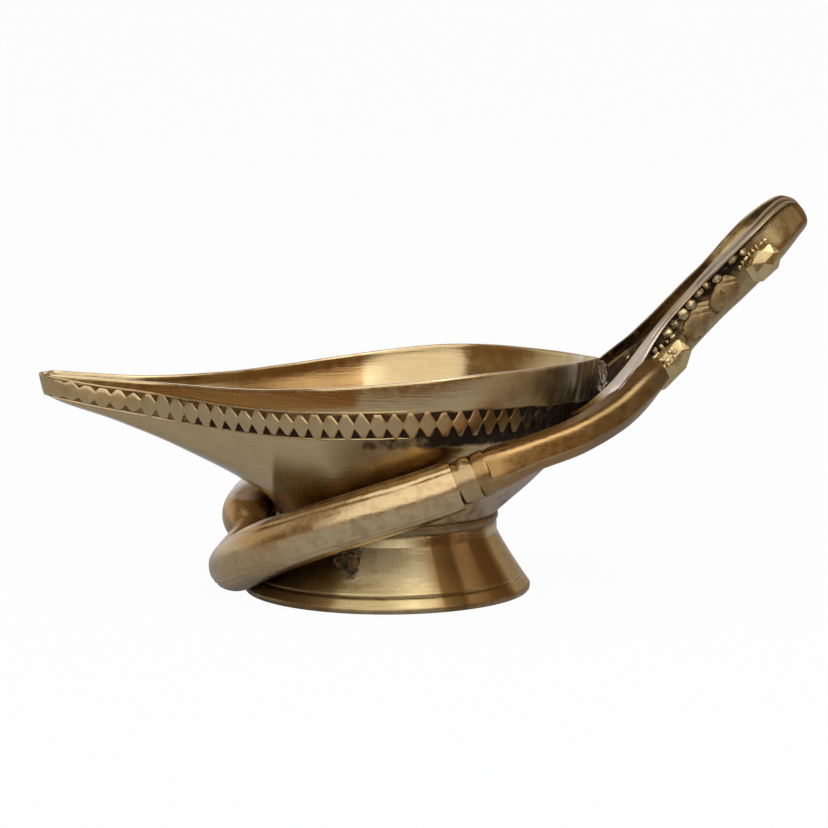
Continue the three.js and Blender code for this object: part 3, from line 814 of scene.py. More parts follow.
def on_border(here):
    """A place on the middle line of the border, with the ways along, up and out from it."""
    v = border_share(here)
    point = OUTER_HULL(here, v)
    along = unit(OUTER_HULL(here + 0.003, v) - OUTER_HULL(here - 0.003, v))
    up = OUTER_HULL(here, min(v + 0.05, 1)) - OUTER_HULL(here, v - 0.05)
    up = unit(up - along * up.dot(along))
    out = np.cross(along, up)
    if out[:2].dot(point[:2]) < 0:
        out = -out
    return point, along, up, out


def border_rail(u, length, side):
    """A thin raised line along the upper or lower edge of the border, lost toward the round end."""
    steps = 699
    rings = []
    for k in range(steps + 1):
        point, _, up, out = on_border(np.interp(length[-1] * k / steps, length, u))
        middle = point + up * side * (border_half(point[0]) + 0.1 + 0.07 * wobble(point, 2.5, side))
        radius = 0.2 + 0.05 * wobble(point, 1.6, 4)
        middle = middle - out * (0.04 + 0.3 * rising(point[0], -6, 12))
        rings.append(middle + radius * spokes(turns(8), up, out))
    return loft(rings)


def make_border():
    """A raised strip, punched from above and below so that a row of pillowed lozenges is left."""
    u, length = border_track()
    count = round(length[-1] / BORDER_PITCH)
    along_steps = 14
    across_steps = 12
    chance = np.random.default_rng(7)
    size = 1 + 0.1 * chance.standard_normal(count).clip(-1.5, 1)
    lean = 0.3 * scattered(chance, count, 1.5)
    lift = 0.12 * scattered(chance, count, 1.5)
    open_by = 0.72 + 0.1 * scattered(chance, count, 1.5)
    rings = []
    for k in range(count * along_steps + 1):
        i = min(k // along_steps, count - 1)
        t = k / along_steps - i
        point, along, up, out = on_border(np.interp(length[-1] * k / (count * along_steps), length, u))
        ridge = 1 - abs(2 * t - 1)
        deep = rising(point[0], 0, 22)
        plain = falling(point[0], TIP_X + 2.5, TIP_X + 5.5)
        waist = 0.5 + 0.3 * rising(-point[0], 26, 46) - 0.25 * deep
        rise = min(1, ridge / (open_by[i] + 0.05 * deep)) ** (1 + 0.5 * deep)
        rise = rise + (1 - rise) * plain
        full = border_half(point[0]) * min(size[i], 1.02)
        half = waist + (full - waist) * rise
        near_tip = falling(point[0], TIP_X + 1, TIP_X + 12)
        crest = BORDER_PROUD * (0.72 + 0.28 * min(1, ridge / 0.4)) * (1 - 0.7 * near_tip)
        ring = []
        for s in np.linspace(-1, 1, across_steps + 1):
            height = crest * (1 - 0.55 * abs(s) ** 5)
            skew = lean[i] * ridge * (1 - abs(s))
            ring.append(point + up * (half * s + lift[i] * ridge) + out * (0.08 + height) + along * skew)
        for edge in (half + 0.05, -half - 0.05):
            ring.append(point + up * edge - out * 0.12)
        rings.append(np.array(ring))
    shape = joined([loft(rings), border_rail(u, length, 1), border_rail(u, length, -1)])
    marks = {
        "soil": toward_handle(0.8, 17, 25),
        "tarnish_and_shade": toward_handle(0.8, 10, 20),
        "amber": toward_handle(0.4, -6, 12),
    }
    dress("border_punched", shape, ["diamond_border"], BORDER_METAL, crease=28, **marks)


# Foot


def flare(t):
    """Outside of the foot, from its rim at 0 to its waist at 1."""
    start = np.array([FOOT_RIM, FOOT_EDGE])
    end = np.array([FOOT_WAIST, FOOT_WAIST_START])
    pull = start + np.array([0.78, 0.7]) * (end - start)
    return (1 - t) ** 2 * start + 2 * t * (1 - t) * pull + t**2 * end


def turned(profile, count):
    """A closed ring of revolution from (radius, height) points."""
    rings = [np.array([polar(radius, angle, z) for radius, z in profile]) for angle in turns(count)]
    return loft(rings, closed=True)


def foot_soil(places):
    """Dark at the neck, under the bar's solder and inside."""
    x, y, z = places.T
    neck = rising(z, FOOT_HEIGHT - 2.0, FOOT_HEIGHT - 0.2) * 0.5
    angle = bearing(places)
    spot = falling(np.hypot((angle + 107) * 0.40, (z - 7.0) * 0.8), 0.8, 3.2) * 0.75
    inside = np.where(np.hypot(x, y) < FOOT_WAIST - FOOT_WALL + 0.4, 0.4, 0)
    return most(neck, spot, inside)


def foot_shade_and_dark_edge(places):
    """Painted shadow of the bar, two painted dark reflection bands, and a darker bottom edge."""
    z = places[:, 2]
    angle = bearing(places)
    under_bar = falling(np.abs(angle + 131), 16, 27) * falling(z, 9, 12) * 0.72
    # Two painted dark reflection bands.
    first = falling(np.abs(angle + 61), 4.5, 7.5) * 0.7
    second = falling(np.abs(angle + 37), 5, 9) * 0.5
    edge = falling(z, 0.9, 1.6) * 0.5
    return most(under_bar, first, second, edge)


def foot_highlight(places):
    """Painted highlight: a pale patch in front and another to the right."""
    z = places[:, 2]
    angle = bearing(places)
    front = falling(np.abs(angle + 90), 12, 22) * rising(z, 3, 6) * 0.6
    right = rising(angle, -30, -24) * falling(angle, 0, 10) * 0.6
    return np.maximum(front, right)


def foot_warm_reflection(places):
    """Painted golden reflection band between the two dark reflection bands."""
    angle = bearing(places)
    return rising(angle, -72, -66) * falling(angle, -32, -26) * 0.6


FOOT_MARKS = {"soil": foot_soil, "tarnish_and_shade": foot_shade_and_dark_edge, "pale": foot_highlight, "amber": foot_warm_reflection}


def make_foot():
    outer = [flare(t) for t in np.linspace(0, 1, 70)]
    outer = [point - (GROOVE_DEPTH * hump(point[1] - GROOVE_Z, GROOVE_WIDTH), 0) for point in outer]
    inner = [point - (FOOT_WALL, 0) for point in outer]
    profile = [(FOOT_RIM - 0.5, 0.0), (FOOT_RIM - 0.25, 0.06), (FOOT_RIM - 0.05, 0.3)]
    profile += [tuple(point) for point in outer]
    profile += [
        (FOOT_WAIST, FOOT_HEIGHT - 1.2),
        (FOOT_WAIST - 0.25, FOOT_HEIGHT - 0.5),
        (FOOT_WAIST - 0.8, FOOT_HEIGHT),
        (FOOT_WAIST - FOOT_WALL, FOOT_HEIGHT),
    ]
    profile += [tuple(point) for point in reversed(inner)]
    profile += [(FOOT_RIM - 3.2, FOOT_EDGE), (FOOT_RIM - 3.2, 0.2), (FOOT_RIM - 3.0, 0.0)]
    dress("foot_turned", turned(profile, 240), ["foot"], FOOT_METAL, crease=50, **FOOT_MARKS)


def make_neck_solder():
    """A ring of solder that bulges unevenly out of the joint of bowl and foot."""
    rings = []
    middle = FOOT_HEIGHT + 0.15
    for angle in turns(240):
        bulge = 0.45 + 0.3 * waver(math.cos(angle) * 4, math.sin(angle) * 4, 3)
        ring = []
        for turn in turns(10):
            reach = FOOT_WAIST - 0.2 + bulge * math.cos(turn)
            ring.append(polar(reach, angle, middle + 0.75 * math.sin(turn)))
        rings.append(np.array(ring))
    dress("neck_fill", loft(rings, closed=True), ["neck_solder"], SOLDER_METAL, "solder")


# Bar, collars and stems


COLLAR_AXIS = np.array([math.cos(COLLAR_RISE), 0, math.sin(COLLAR_RISE)])
WIDEST = 1.012
WIDE_FACE = 0.5
FLAT_REACH = 1.022
ROUNDED = 5
SOFT_FILING = 14
CRISP_FILING = 36
LOOP_CREASES = [34, 80, 113, 147, 184, 225, 268, 312, 352]
STEM_CREASES = {NEAR: [-48, 40, 66, 120, 165, 205, 250], FAR: [-42, 48, 110, 155, 195, 240, 294]}

# Shares of the bar's length between which its bend is hammered round, without grooves
BEND = (0.46, 0.54, 0.64, 0.72)

# Grooves along the bar: angle round it, width in degrees, depth
GROOVES = ((30, 3.5, 0.13), (43, 4.5, 0.2), (124, 2.6, 0.16), (137, 3.4, 0.14))
LEAST_Z = 0.8


def on_collar(side, distance):
    """A place on the axis of a collar, so far from its middle."""
    return np.array([COLLAR_AHEAD, side * COLLAR_OUT, COLLAR_HEIGHT]) + COLLAR_AXIS * distance


def filed_outline(around, edges, press, sharpness):
    """Reach of a round bar filed flat between edges in degrees, as a share of its radius."""
    wall = np.full(len(around), 1 / WIDEST) ** sharpness
    for i, edge in enumerate(edges):
        after = edges[(i + 1) % len(edges)] + (360 if i == len(edges) - 1 else 0)
        middle = math.radians((edge + after) / 2)
        flat = math.cos(min(math.radians((after - edge) / 2), WIDE_FACE)) * FLAT_REACH + press[i]
        wall += (np.maximum(np.cos(around - middle), 0) / flat) ** sharpness
    return wall ** (-1 / sharpness)


def filed_bar(rows, steps, seed, creases, wander, sharpness, at_bend, grooves=()):
    """A bar filed by hand into flat faces, with edges that wander a little along its length."""
    curve = rows_curve(rows)
    around = turns(120)
    rings = []
    for k in range(steps + 1):
        t = k / steps
        row = curve(t)
        _, across, over = axes_at(curve, t)
        drift = [wander * waver(t * 6 + seed, i * 3.1, seed) for i in range(len(creases))]
        press = [0.012 * waver(t * 8, i * 2.3 + seed, 4) for i in range(len(creases))]
        crisp = np.interp(t, BEND, (sharpness, at_bend, at_bend, sharpness))
        reach = row[RADIUS] * filed_outline(around, np.array(creases) + drift, press, crisp)
        for centre, width, depth in grooves:
            gap = apart(np.degrees(around), centre + 5 * waver(t * 9, seed, depth * 40))
            fade = 0.35 + 0.65 * abs(waver(t * 5, width, seed)) * 1.6
            fade *= np.interp(t, BEND, (1, 0, 0, 1))
            reach = reach - depth * fade * hump(gap, width)
        rings.append(row[:3] + reach[:, None] * spokes(around, over, across))
    return loft(rings)


def make_loop():
    near_end, far_end = ([*on_collar(side, -RING_WIDTH - 0.2), 4.6] for side in (NEAR, FAR))
    rows = [near_end]
    for angle, outset, climb, radius in LOOP:
        rows.append([*polar(FOOT_RIM + outset, math.radians(angle), climb * COLLAR_HEIGHT), radius])
    rows.append(far_end)
    points, faces = filed_bar(rows, 280, 1.7, LOOP_CREASES, 4.0, SOFT_FILING, ROUNDED, GROOVES)
    points[:, 2] = np.maximum(points[:, 2], LEAST_Z)

    # Painted shade where the bar runs close to the foot.
    def shade_near_foot(places):
        return 0.5 * falling(np.hypot(places[:, 0], places[:, 1]), FOOT_RIM - 1.5, FOOT_RIM + 1.2)

    # Painted warm reflection on the bend, on the far side, toward the collar and along the front.
    def warm_reflection(places):
        x, y, z = places.T
        bend = falling(np.abs(x + 24), 4, 8) * (y < 0) * rising(z, 9, 12) * 0.6
        far = (y > 0) * falling(z, 15.5, 17) * 0.5
        right = rising(x, -3, 5) * (y < 0) * 0.3
        front = (y < 0) * 0.16
        return most(bend, far, right, front)

    # Painted white reflection on the top of the far bend.
    def white_top_reflection(places):
        x, y, z = places.T
        return rising(y, -2, 1) * falling(x, -24, -20) * rising(z, 14.3, 15.0)

    # Painted highlight along the front toward the collar.
    def front_highlight(places):
        return 0.6 * (places[:, 1] < 0) * rising(places[:, 0], -20, -12)

    marks = {"tarnish_and_shade": shade_near_foot, "amber": warm_reflection, "pale": white_top_reflection, "wear_and_highlight": front_highlight}
    dress("loop_filed", (points, faces), ["foot_loop"], BAR_METAL, crease=60, **marks)


# Where the slanted file grooves and a small knob lie round a collar, and their spread, in degrees
LOW_CUT = 134
HIGH_CUT = 12
CUT_SPREAD = 24
KNOB = 15
KNOB_SPREAD = 20

# Depths and heights on a collar, and how much its upper half thins toward the stem
CUT_DEPTH = 0.6
KNOB_HEIGHT = 0.3
TAPER = 1.45
COLLAR_RADIUS = 4.62
COLLAR_GAP = 0.15
COLLAR_HALF = RING_WIDTH / 2 + 0.13


def make_collar(label, side, name, place):
    """Half of a collar: a sleeve as thick as the bar, cut by slanted file grooves above and below."""
    centre = on_collar(side, place * (RING_WIDTH / 2 + COLLAR_GAP))
    across = np.array([0.0, 1.0, 0.0])
    over = np.cross(COLLAR_AXIS, across)
    stations = 36
    count = 120
    outline = filed_outline(turns(count), LOOP_CREASES, [0] * len(LOOP_CREASES), ROUNDED)

    def cut_line(turned_to):
        return place * 0.62 + 0.3 * np.sin(np.radians(turned_to * 2 + 20))

    turned_to = np.degrees(turns(count)) * side % 360
    plain = COLLAR_RADIUS * outline[np.round(turned_to * count / 360).astype(int) % count]
    low = hump(apart(turned_to, LOW_CUT), CUT_SPREAD)
    high = hump(apart(turned_to, HIGH_CUT), CUT_SPREAD)
    knob = KNOB_HEIGHT * hump(apart(turned_to, KNOB), KNOB_SPREAD)
    rings = []
    for share in np.linspace(-1, 1, stations + 1):
        cut = CUT_DEPTH * hump(share - cut_line(turned_to), 0.14)
        radius = plain - cut * (low + 0.5 * high) - abs(share) ** 9 * (0.03 + 0.3 * (low + high))
        radius += knob * hump(share - 0.2, 0.4) if place < 0 else -TAPER * rising(share, 0.1, 1.0)
        middle = centre + COLLAR_AXIS * (share * COLLAR_HALF)
        rings.append(middle + radius[:, None] * spokes(turns(count), over, across))

    def soiled(places):
        away = places - centre
        along_axis = away @ COLLAR_AXIS
        turned_to = np.degrees(np.arctan2(away @ across, away @ over)) * side % 360
        edge = rising(np.abs(along_axis), RING_WIDTH / 2 - 0.25, RING_WIDTH / 2 + 0.1)
        filed = hump(along_axis / COLLAR_HALF - cut_line(turned_to), 0.2)
        filed = filed * falling(np.abs(turned_to - LOW_CUT), 16, 34)
        return np.maximum(0.3 * edge * (along_axis * place < 0), filed)

    # The extra amber on the upper ring is painted warm reflection; both rings are evenly darkened.
    marks = {"soil": soiled, "tarnish_and_shade": evenly(0.36 + 0.04 * place), "amber": evenly(0.3 + 0.25 * place)}
    piece = f"collar_bead_{label}_{name}"
    dress(piece, loft(rings), [f"collar_ring_{label}_{name}"], BAR_METAL, crease=60, **marks)


def make_stem(label, side):
    start = on_collar(side, RING_WIDTH - 1.6)
    tail = [[*hood_point(side, END_X + x, down, out), radius] for x, down, out, radius in STEM_END]
    end = np.array(tail[0][:3])
    rows = [[*start, 3.6], [*on_collar(side, RING_WIDTH + 0.6), 3.7]]
    for share, outward, sag, radius in STEM:
        place = start + (end - start) * share
        rows.append([place[0], place[1] + side * outward, place[2] - sag, radius])
    rows += tail
    shape = filed_bar(rows, 130, 5.2 + side, STEM_CREASES[side], 3.0, CRISP_FILING, CRISP_FILING)

    def soiled(places):
        x, y, _ = places.T
        inner = falling(side * y - (18 - 0.25 * (x - 20)), -2.5, 1.5)
        patches = rising(wobbles(places, 2.6, 2), -0.3, 0.5)
        return np.maximum(inner * 0.6, 0.42 * patches * rising(x, END_X + 1, END_X + 7))

    # Painted warm reflection, less toward the handle.
    def warm_reflection(places):
        return 0.45 * falling(places[:, 0], 28, 40)

    # The darkening toward the handle is painted shade.
    marks = {"soil": soiled, "amber": warm_reflection, "tarnish_and_shade": toward_handle(0.5, 27, 36)}
    dress(f"stem_filed_{label}", shape, [f"stem_{label}"], STEM_METAL, crease=24, **marks)


# Handle


SIDE_INSET = 0.6
HANDLE_CURVE = rows_curve([[END_X + x, 0, RIM_HEIGHT + z, *rest] for x, z, *rest in HANDLE])


def handle_share(x):
    """Share along the handle's curve at which it reaches X."""
    low = 0.0
    high = 1.0
    for _ in range(30):
        middle = (low + high) / 2
        if HANDLE_CURVE(middle)[0] < x:
            low = middle
        else:
            high = middle
    return low


def hood_point(side, x, down, out):
    """A place on the side of the handle: X, depth below its crest line, distance out of its wall."""
    t = handle_share(x)
    row = HANDLE_CURVE(t)
    _, _, over = axes_at(HANDLE_CURVE, t)
    return row[:3] - over * down + np.array([0, side * (row[HALF] - SIDE_INSET + out), 0])


def handle_section(row, tip):
    """Points across the handle and out of its face: rim strip, side, rounded back, then the dish."""
    crest, half, depth, lowered, drop = row[DISH:]
    side = half - SIDE_INSET
    edge = drop + lowered
    strip = edge + 0.35
    wall_end = max(depth - 2.2, strip + 0.4)
    outer = []
    for share, cut in ((0, 0), (0.12, 0), (0.5, 0), (0.6, 0.28), (0.7, 0), (0.92, 0)):
        outer.append([-(crest + share * (half - crest)), -(lowered + share * (edge - lowered) + cut)])
    outer += [[-half + 0.05, -edge], [-half, -edge - 0.08], [-half, -strip + 0.05], [-half + 0.1, -strip]]
    outer.append([-side, -strip - 0.1])
    for share in (0.25, 0.5, 0.75, 1.0):
        outer.append([-side, -(strip + 0.1 + share * (wall_end - strip - 0.1))])
    back = max(side - 2.2, 0.6)
    for turn in np.linspace(0.2, 1, 6):
        angle = turn * np.pi / 2
        out = back + (side - back) * math.cos(angle)
        outer.append([-out, -(wall_end + (depth - wall_end) * math.sin(angle))])
    outer.append([-back * 0.5, -depth])
    mirrored = [[-y, n] for y, n in reversed(outer)]
    dish = min(3.6, crest * 0.7)
    inner = []
    for angle in np.linspace(0, np.pi, 3 * len(outer)):
        inner.append([(crest - 0.3) * math.cos(angle), -lowered - 0.25 - dish * math.sin(angle) ** 0.6])
    section = np.array(outer + mirrored + inner)
    middle = np.array([0, -depth / 2])
    return middle + (section - middle) * tip


def bowl_cutter():
    """The space of the bowl, a little larger, to cut the cradle of the handle."""
    around = 260
    u = np.arange(around) / around
    grow = 0.25
    surface = hull(-grow, NECK_RADIUS + grow, BASE_Z)
    rings = [circle(NECK_RADIUS + grow, BOWL_BOTTOM - grow, around)]
    rings += [surface(u, v) for v in np.linspace(0, 1, 26)]
    above = surface(u, 1.0)
    above[:, 2] += 2.0
    rings.append(above)
    return placed("cutter", mesh_of("cutter", *loft(rings)))


def on_handle(places):
    """Depth of places below the crest line, and the numbers of the handle's curve beside each."""
    steps = np.linspace(0, 1, 160)
    rows = np.array([HANDLE_CURVE(t) for t in steps])
    overs = np.array([axes_at(HANDLE_CURVE, t)[2] for t in steps])
    away_x, away_z = (places[:, None, k] - rows[None, :, k] for k in (0, 2))
    nearest = np.argmin(np.hypot(away_x, away_z), axis=1)
    down = -((places - rows[nearest, :3] * (1, 0, 1)) * overs[nearest] * (1, 0, 1)).sum(1)
    return down, rows[nearest]


def on_strip(places, down, row):
    """Whether places lie on the rim strips of the handle."""
    return (np.abs(places[:, 1]) > row[:, DISH] - 0.2) & (down < row[:, STRIP] + row[:, CREST] + 0.45)


def handle_soil(places):
    """Dark in the dish, as painted shade with dirt, between the leaves and studs, and under the strip."""
    ahead = places[:, 0] - END_X
    y = places[:, 1]
    down, row = on_handle(places)
    dish = (np.abs(y) < row[:, DISH] - 0.35) & (down > 0.5) & (down < 4.6)
    low = np.where(dish, 0.75 * falling(ahead, 8, 16), 0)
    pinch = 0.75 * falling(np.abs(ahead - 17.5), 0.3, 2) * dish
    wall = (np.abs(y) > row[:, HALF] - SIDE_INSET - 0.4) & (down > row[:, STRIP] + 0.9)
    seams = np.maximum(1 - np.abs(ahead - 9.6) / 2.4, 1 - np.abs(ahead - 19.4) / 2.2).clip(0, 1)
    side = np.where(wall, (0.55 + 0.5 * seams) * rising(ahead, 5, 8), 0)
    side = side * falling(ahead, 22, 25) * (1 - 0.7 * rising(down, 5.2, 6.8))
    groove = (wall & (down < row[:, STRIP] + 2.4)) * rising(ahead, 5, 7) * (ahead < 23) * 0.85
    return most(low, side, pinch, groove)


def handle_tarnish_and_shade(places):
    """Brown in the dish, as painted shade with dirt, and on parts of the rim strips."""
    ahead = places[:, 0] - END_X
    y = places[:, 1]
    down, row = on_handle(places)
    dish = rising(row[:, DISH] - np.abs(y), -0.2, 0.4) * (down < 4.6)
    near_strip = (y < 0) * on_strip(places, down, row) * 0.5 * rising(ahead, 6, 10)
    far_strip = (y > 0) * falling(ahead, 6.5, 9.5) * (down < row[:, STRIP] + 0.6)
    dish = dish * (0.9 - 0.75 * rising(ahead, 18.5, 20))
    return most(dish, 0.9 * far_strip, near_strip)


def handle_strip_reflection(places):
    """The rim strips, pale as painted reflection of the white surroundings, most of all low down."""
    ahead = places[:, 0] - END_X
    ends = rising(ahead, -1.5, 0.5) * falling(ahead, 24.5, 27)
    return on_strip(places, *on_handle(places)) * (1 - 0.65 * rising(ahead, 6, 12)) * ends


def make_handle():
    steps = 150
    rings = []
    for k in range(steps + 1):
        t = k / steps
        row = HANDLE_CURVE(t)
        _, _, over = axes_at(HANDLE_CURVE, t)
        past = max(t - 0.94, 0) / 0.06
        tip = math.sqrt(max(1 - (0.93 * past) ** 2, 0))
        section = handle_section(row, tip)
        rings.append(row[:3] + np.outer(section[:, 0], [0, 1, 0]) + np.outer(section[:, 1], over))
    piece = placed("handle_raw", mesh_of("handle_raw", *loft(rings)))
    cutter = bowl_cutter()
    cut = piece.modifiers.new("cut", "BOOLEAN")
    cut.operation = "DIFFERENCE"
    cut.solver = "EXACT"
    cut.object = cutter
    shown = piece.evaluated_get(bpy.context.evaluated_depsgraph_get())
    mesh = bpy.data.meshes.new_from_object(shown)
    mesh.name = "handle_cast"
    bpy.data.objects.remove(piece)
    bpy.data.objects.remove(cutter)
    marks = {"soil": handle_soil, "tarnish_and_shade": handle_tarnish_and_shade, "pale": handle_strip_reflection}
    dress("handle_cast", mesh, ["hood"], HANDLE_METAL, crease=36, **marks)


def ball(centre, radii, axes, across=12, rings=8):
    """A small rounded lump on its own axes."""
    loops = []
    for tilt in np.pi * np.linspace(0.04, 0.96, rings + 1):
        middle = centre + math.cos(tilt) * radii[0] * axes[0]
        loops.append(middle + math.sin(tilt) * spokes(turns(across), radii[1] * axes[1], radii[2] * axes[2]))
    return loft(loops)


PEARL_PITCH = 2.0
PEARL_RADII = np.array([0.86, 0.72, 0.66])
BEAD_RADII = np.array([0.5, 0.46, 0.5])
STUD_BEVEL = 0.17


def make_pearls(label, side):
    """A row of uneven pearls under one edge of the handle."""
    chance = np.random.default_rng(11 + side)
    line = []
    for x in np.linspace(END_X + 6.3, END_X + 22.5, 60):
        drop = HANDLE_CURVE(handle_share(x))[STRIP]
        line.append(hood_point(side, x, drop + 1.15, SIDE_INSET))
    line = np.array(line)
    length = lengths_along(line)
    count = round(length[-1] / PEARL_PITCH)

    def place_at(step):
        return np.array([np.interp(length[-1] * step / count, length, values) for values in line.T])

    parts = []
    for k in range(count):
        place = place_at(k + 0.5)
        along = unit(place_at(k + 0.6) - place)
        across = unit(np.cross([0, 0, 1], along))
        radii = PEARL_RADII * (1 + 0.3 * scattered(chance, 3, 1.2))
        place = place + 0.24 * scattered(chance, 3, 1)
        pearl, loops = ball(place, radii, (along, across, np.cross(along, across)))
        parts.append((pearl + 0.09 * scattered(chance, pearl.shape, 1), loops))

    def soiled(places):
        buried = side * places[:, 1] < np.interp(places[:, 0], line[:, 0], side * line[:, 1]) + 0.1
        return np.maximum(0.7 * buried, 0.6 * rising(wobbles(places, 2.2, 3), 0.0, 0.35))

    dress(f"pearls_{label}", joined(parts), [f"pearl_row_{label}"], PEARL_METAL, "relief_brass", soil=soiled)


# Leaves and studs: X past the bowl's end, depth below the crest, length, height, proud
LEAVES = (("lower", 12.4, 4.6, 4.4, 2.15, 0.75), ("upper", 17.2, 4.4, 3.9, 2.1, 0.7))
STUDS = (("lower", 6.6, 5.3, 9.0, 5.2, 3.2), ("upper", 22.5, 5.3, 6.2, 4.8, 2.6))


def side_axes(side, x):
    """Ways along, over and out of the handle's side wall."""
    along, _, over = axes_at(HANDLE_CURVE, handle_share(x))
    return along, over, np.array([0, side, 0])


def make_leaf(label, side, name, x, down, length, height, proud):
    """A curled lobe, with fine slanted veins toward its upper end."""
    centre = hood_point(side, END_X + x, down, 0.1)
    along, over, out = side_axes(side, END_X + x)
    turn = turns(72)
    rings = []
    for s in np.linspace(-0.98, 0.98, 81):
        body = (1 - s * s) ** 0.5
        up = np.cos(turn) * height * body
        rise = np.sin(turn) * proud * body
        comb = 0.5 + 0.5 * np.sin((s * length * 0.9 + up * 1.1) * 4.6)
        vein = comb**4 * 0.09 * proud * rising(s + 0.12 * up, 0.1, 0.45) * (rise > 0)
        lift = up + 0.4 * math.sin(s * 2.4)
        rings.append(centre + along * (s * length) + np.outer(lift, over) + np.outer(rise - vein, out))

    def soiled(places):
        end = rising(np.abs((places - centre) @ along) / length, 0.66, 0.95) * 0.6
        return np.maximum(end, 0.5 * rising(wobbles(places, 0.9, 6), -0.1, 0.5))

    piece = f"leaf_lobed_{label}_{name}"
    dress(piece, loft(rings), [f"leaf_{label}_{name}"], RELIEF_METAL, "relief_brass", soil=soiled)


def make_stud(label, side, name, x, down, length, height, proud):
    """A block filed into facets round an off-centre peak, with small beads along its upper edge.

    The lower studs have more beads over their upper side.
    """
    centre = hood_point(side, END_X + x, down, 0)
    along, over, out = side_axes(side, END_X + x)
    base = [(-0.55, -0.2), (-0.46, 0.3), (0.05, 0.5), (0.5, 0.34), (0.55, -0.22), (0.2, -0.5), (-0.36, -0.46)]
    top = [(-0.34, -0.12), (-0.2, 0.26), (0.22, 0.33), (0.4, 0.0), (0.14, -0.28)]
    corners = [(a, b, -0.05) for a, b in base] + [(a, b, 0.42) for a, b in base]
    corners += [(a, b, 0.68) for a, b in top] + [(0.02, -0.02, 0.8)]
    block = bmesh.new()
    for a, b, c in corners:
        point = centre + along * (a * length) + over * (b * height) + out * (c * proud)
        block.verts.new((point + AXIS) * MM)
    made = bmesh.ops.convex_hull(block, input=block.verts)
    inside = set(made["geom_interior"]) | set(made["geom_unused"])
    bmesh.ops.delete(block, geom=list(inside), context="VERTS")
    edges = [edge for edge in block.edges if edge.calc_face_angle(0) > 0.15]
    bmesh.ops.bevel(block, geom=edges, offset=STUD_BEVEL * MM, segments=3, affect="EDGES", profile=0.6)
    points, faces = points_and_faces(block)
    parts = [(points / MM - AXIS, faces)]
    chance = np.random.default_rng(31)
    beads = [(a, 0.53 - 0.25 * a * a, 0.35) for a in np.linspace(-0.52, 0.46, 8)]
    if name == "lower":
        for _ in range(14):
            a, b = chance.uniform((-0.52, 0.02), (0.3, 0.5))
            beads.append((a, b, proud * (0.9 - 0.9 * b)))
    for a, b, above in beads:
        spot = centre + along * (a * length) + over * (b * height) + out * above
        radii = BEAD_RADII * (1 + 0.25 * scattered(chance, 3, 1.2))
        parts.append(ball(spot, radii, (along, over, out)))
    dress(f"stud_filed_{label}_{name}", joined(parts), [f"stud_{label}_{name}"], STUD_METAL, crease=20)


# Solder


def lump(name, node, centre, radii, rough, seed, material, soil):
    """A rough ball of solder, squashed to its radii."""
    block = bmesh.new()
    bmesh.ops.create_icosphere(block, subdivisions=5, radius=1)
    points, faces = points_and_faces(block)
    for point in points:
        ripple = noise.fractal(Vector(point * 1.6) + Vector((seed, 0, 0)), 1.0, 2.0, 3)
        point *= 1 + rough * ripple
    shape = (points * radii + centre, faces)
    dress(name, shape, [node], material, "solder", soil=evenly(soil))


def make_solder():
    centre = polar(FOOT_RIM - 4.9, math.radians(-108), 8.2)
    lump("bar_fill", "loop_solder", centre, (2.2, 1.2, 2.3), 0.36, 5.0, SOLDER_METAL, 0.55)
    centre = [END_X + 0.2, 0, RIM_HEIGHT - 4.2]
    lump("end_fill", "handle_solder", centre, (1.7, 6.6, 3.4), 0.14, 7.0, FILL_METAL, 0.25)


# Stage, lights and camera


WHITE = colour(1, 1, 1)
PAPER = colour(0.46, 0.46, 0.50)
ROOM_LOW = colour(0.26, 0.15, 0.06)
ROOM_HIGH = colour(0.33, 0.22, 0.13)
DAYLIGHT = colour(0.62, 0.62, 0.64)
PAPER_HALF = 3
PAPER_FRONT = -0.165
PAPER_BACK = 5


def seen_straight(path):
    """1 for rays that come from the camera, through glass or not."""
    return maths("MAXIMUM", path["Is Camera Ray"], path["Is Transmission Ray"])


def make_stage():
    """Paper that looks white to the camera, but lights the lamp as a grey sheet."""
    paint = bpy.data.materials.new("paper")
    tree = nodes_of(paint)
    path = add(tree, "LightPath").outputs
    share = maths("MAXIMUM", times(seen_straight(path), 0.97), times(path["Is Glossy Ray"], 0.1))
    matte = add(tree, "BsdfDiffuse", {"Color": PAPER})
    glow = add(tree, "Emission", {"Color": WHITE, "Strength": 1.0})
    mix = add(tree, "MixShader", {0: share, 1: matte.outputs[0], 2: glow.outputs[0]})
    add(tree, "OutputMaterial", {"Surface": mix.outputs[0]})
    mesh = bpy.data.meshes.new("paper")
    front = [(-PAPER_HALF, PAPER_FRONT, 0), (PAPER_HALF, PAPER_FRONT, 0)]
    back = [(PAPER_HALF, PAPER_BACK, 0), (-PAPER_HALF, PAPER_BACK, 0)]
    mesh.from_pydata(front + back, [], [(0, 1, 2, 3)])
    mesh.materials.append(paint)
    paper = placed("paper", mesh)


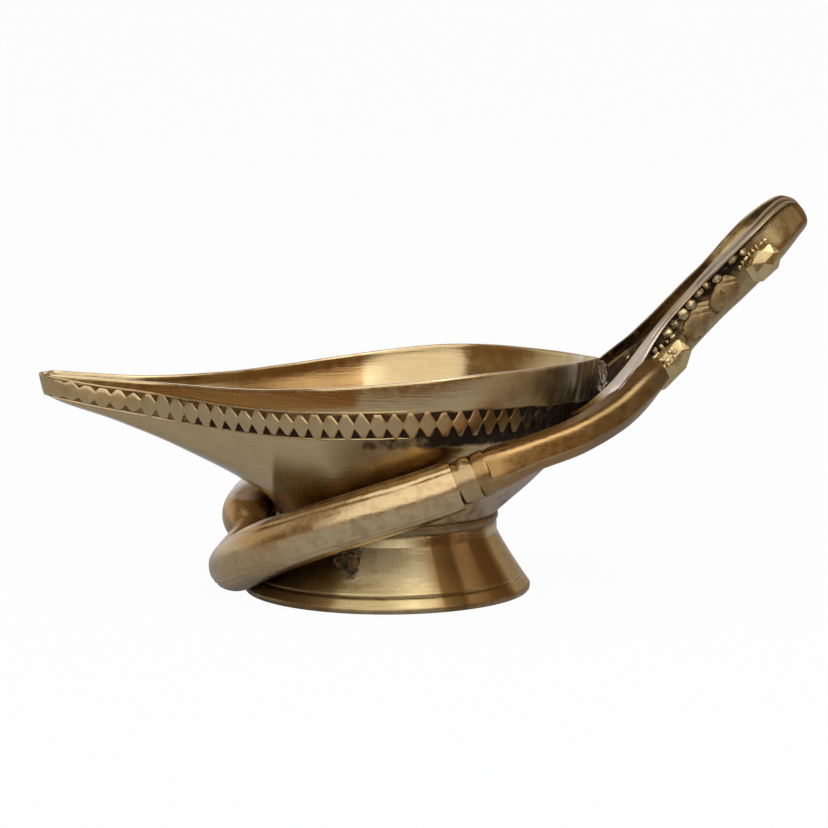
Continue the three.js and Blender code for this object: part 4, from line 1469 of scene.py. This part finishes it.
def make_world():
    """White wherever the camera looks and behind the lamp; a brown room on the camera's side."""
    world = bpy.data.worlds.new("room")
    SCENE.world = world
    tree = nodes_of(world)
    way = add(tree, "TexCoord").outputs["Generated"]
    parts = add(tree, "SeparateXYZ", {0: way}).outputs
    path = add(tree, "LightPath").outputs
    behind = ranged(parts["Y"], -0.08, 0.08)
    level = ranged(parts["Z"], 0.4, 0.72, 1.0, 0.0)
    left = ranged(parts["X"], 0.05, 0.4, 1.0, 0.0)
    backdrop = times(times(behind, level), left)
    room = mixed(ranged(parts["Z"], -0.3, 0.7), ROOM_LOW, ROOM_HIGH)
    light = mixed(path["Is Diffuse Ray"], room, DAYLIGHT)
    light = mixed(times(path["Is Glossy Ray"], backdrop), light, WHITE)
    shown = mixed(seen_straight(path), light, WHITE)
    sky = add(tree, "Background", {"Color": shown, "Strength": 1.0})
    add(tree, "OutputWorld", {"Surface": sky.outputs[0]})


LAMP_DISTANCE = 0.9
LAMP_AIM = Vector((0, 0, 0.03))
LAMP_COLOUR = (0.95, 1.0, 1.08)


def make_lamp(name, azimuth, elevation, size, power):
    """A soft box aimed at the lamp; azimuth 0 is the camera's side, positive toward the handle."""
    data = bpy.data.lights.new(name, "AREA")
    data.shape = "RECTANGLE"
    data.size, data.size_y = size
    data.energy = power
    data.color = LAMP_COLOUR
    box = placed(name, data)
    turn = math.radians(azimuth)
    rise = math.radians(elevation)
    back = Vector((math.sin(turn) * math.cos(rise), -math.cos(turn) * math.cos(rise), math.sin(rise)))
    box.location = LAMP_AIM + back * LAMP_DISTANCE
    box.rotation_mode = "QUATERNION"
    box.rotation_quaternion = (-back).to_track_quat("-Z", "Y")


def make_camera():
    aside = 0.0046
    distance = 0.6
    height = 0.1166
    pitch = math.radians(8.225)
    data = bpy.data.cameras.new("camera")
    data.sensor_width = 36.0
    data.lens = 155.26
    camera = placed("camera", data)
    camera.location = (AXIS[0] * MM + aside, -distance, height)
    camera.rotation_euler = (math.pi / 2 - pitch, 0, 0)
    SCENE.camera = camera


make_camera()
make_world()
make_stage()
make_lamp("window", -12, 40, (1.36, 1.26), 8.2)
make_lamp("window_high", 40.4, 49, (0.56, 0.9), 2.5)
make_lamp("wall", 88, 40, (0.22, 0.8), 0.3)
SCENE.view_settings.view_transform = "Standard"

make_bowl()
make_border()
make_foot()
make_neck_solder()
make_loop()
make_handle()
make_solder()
for label, side in SIDES:
    make_collar(label, side, "lower", -1)
    make_collar(label, side, "upper", 1)
    make_stem(label, side)
    make_pearls(label, side)
    for leaf in LEAVES:
        make_leaf(label, side, *leaf)
    for stud in STUDS:
        make_stud(label, side, *stud)
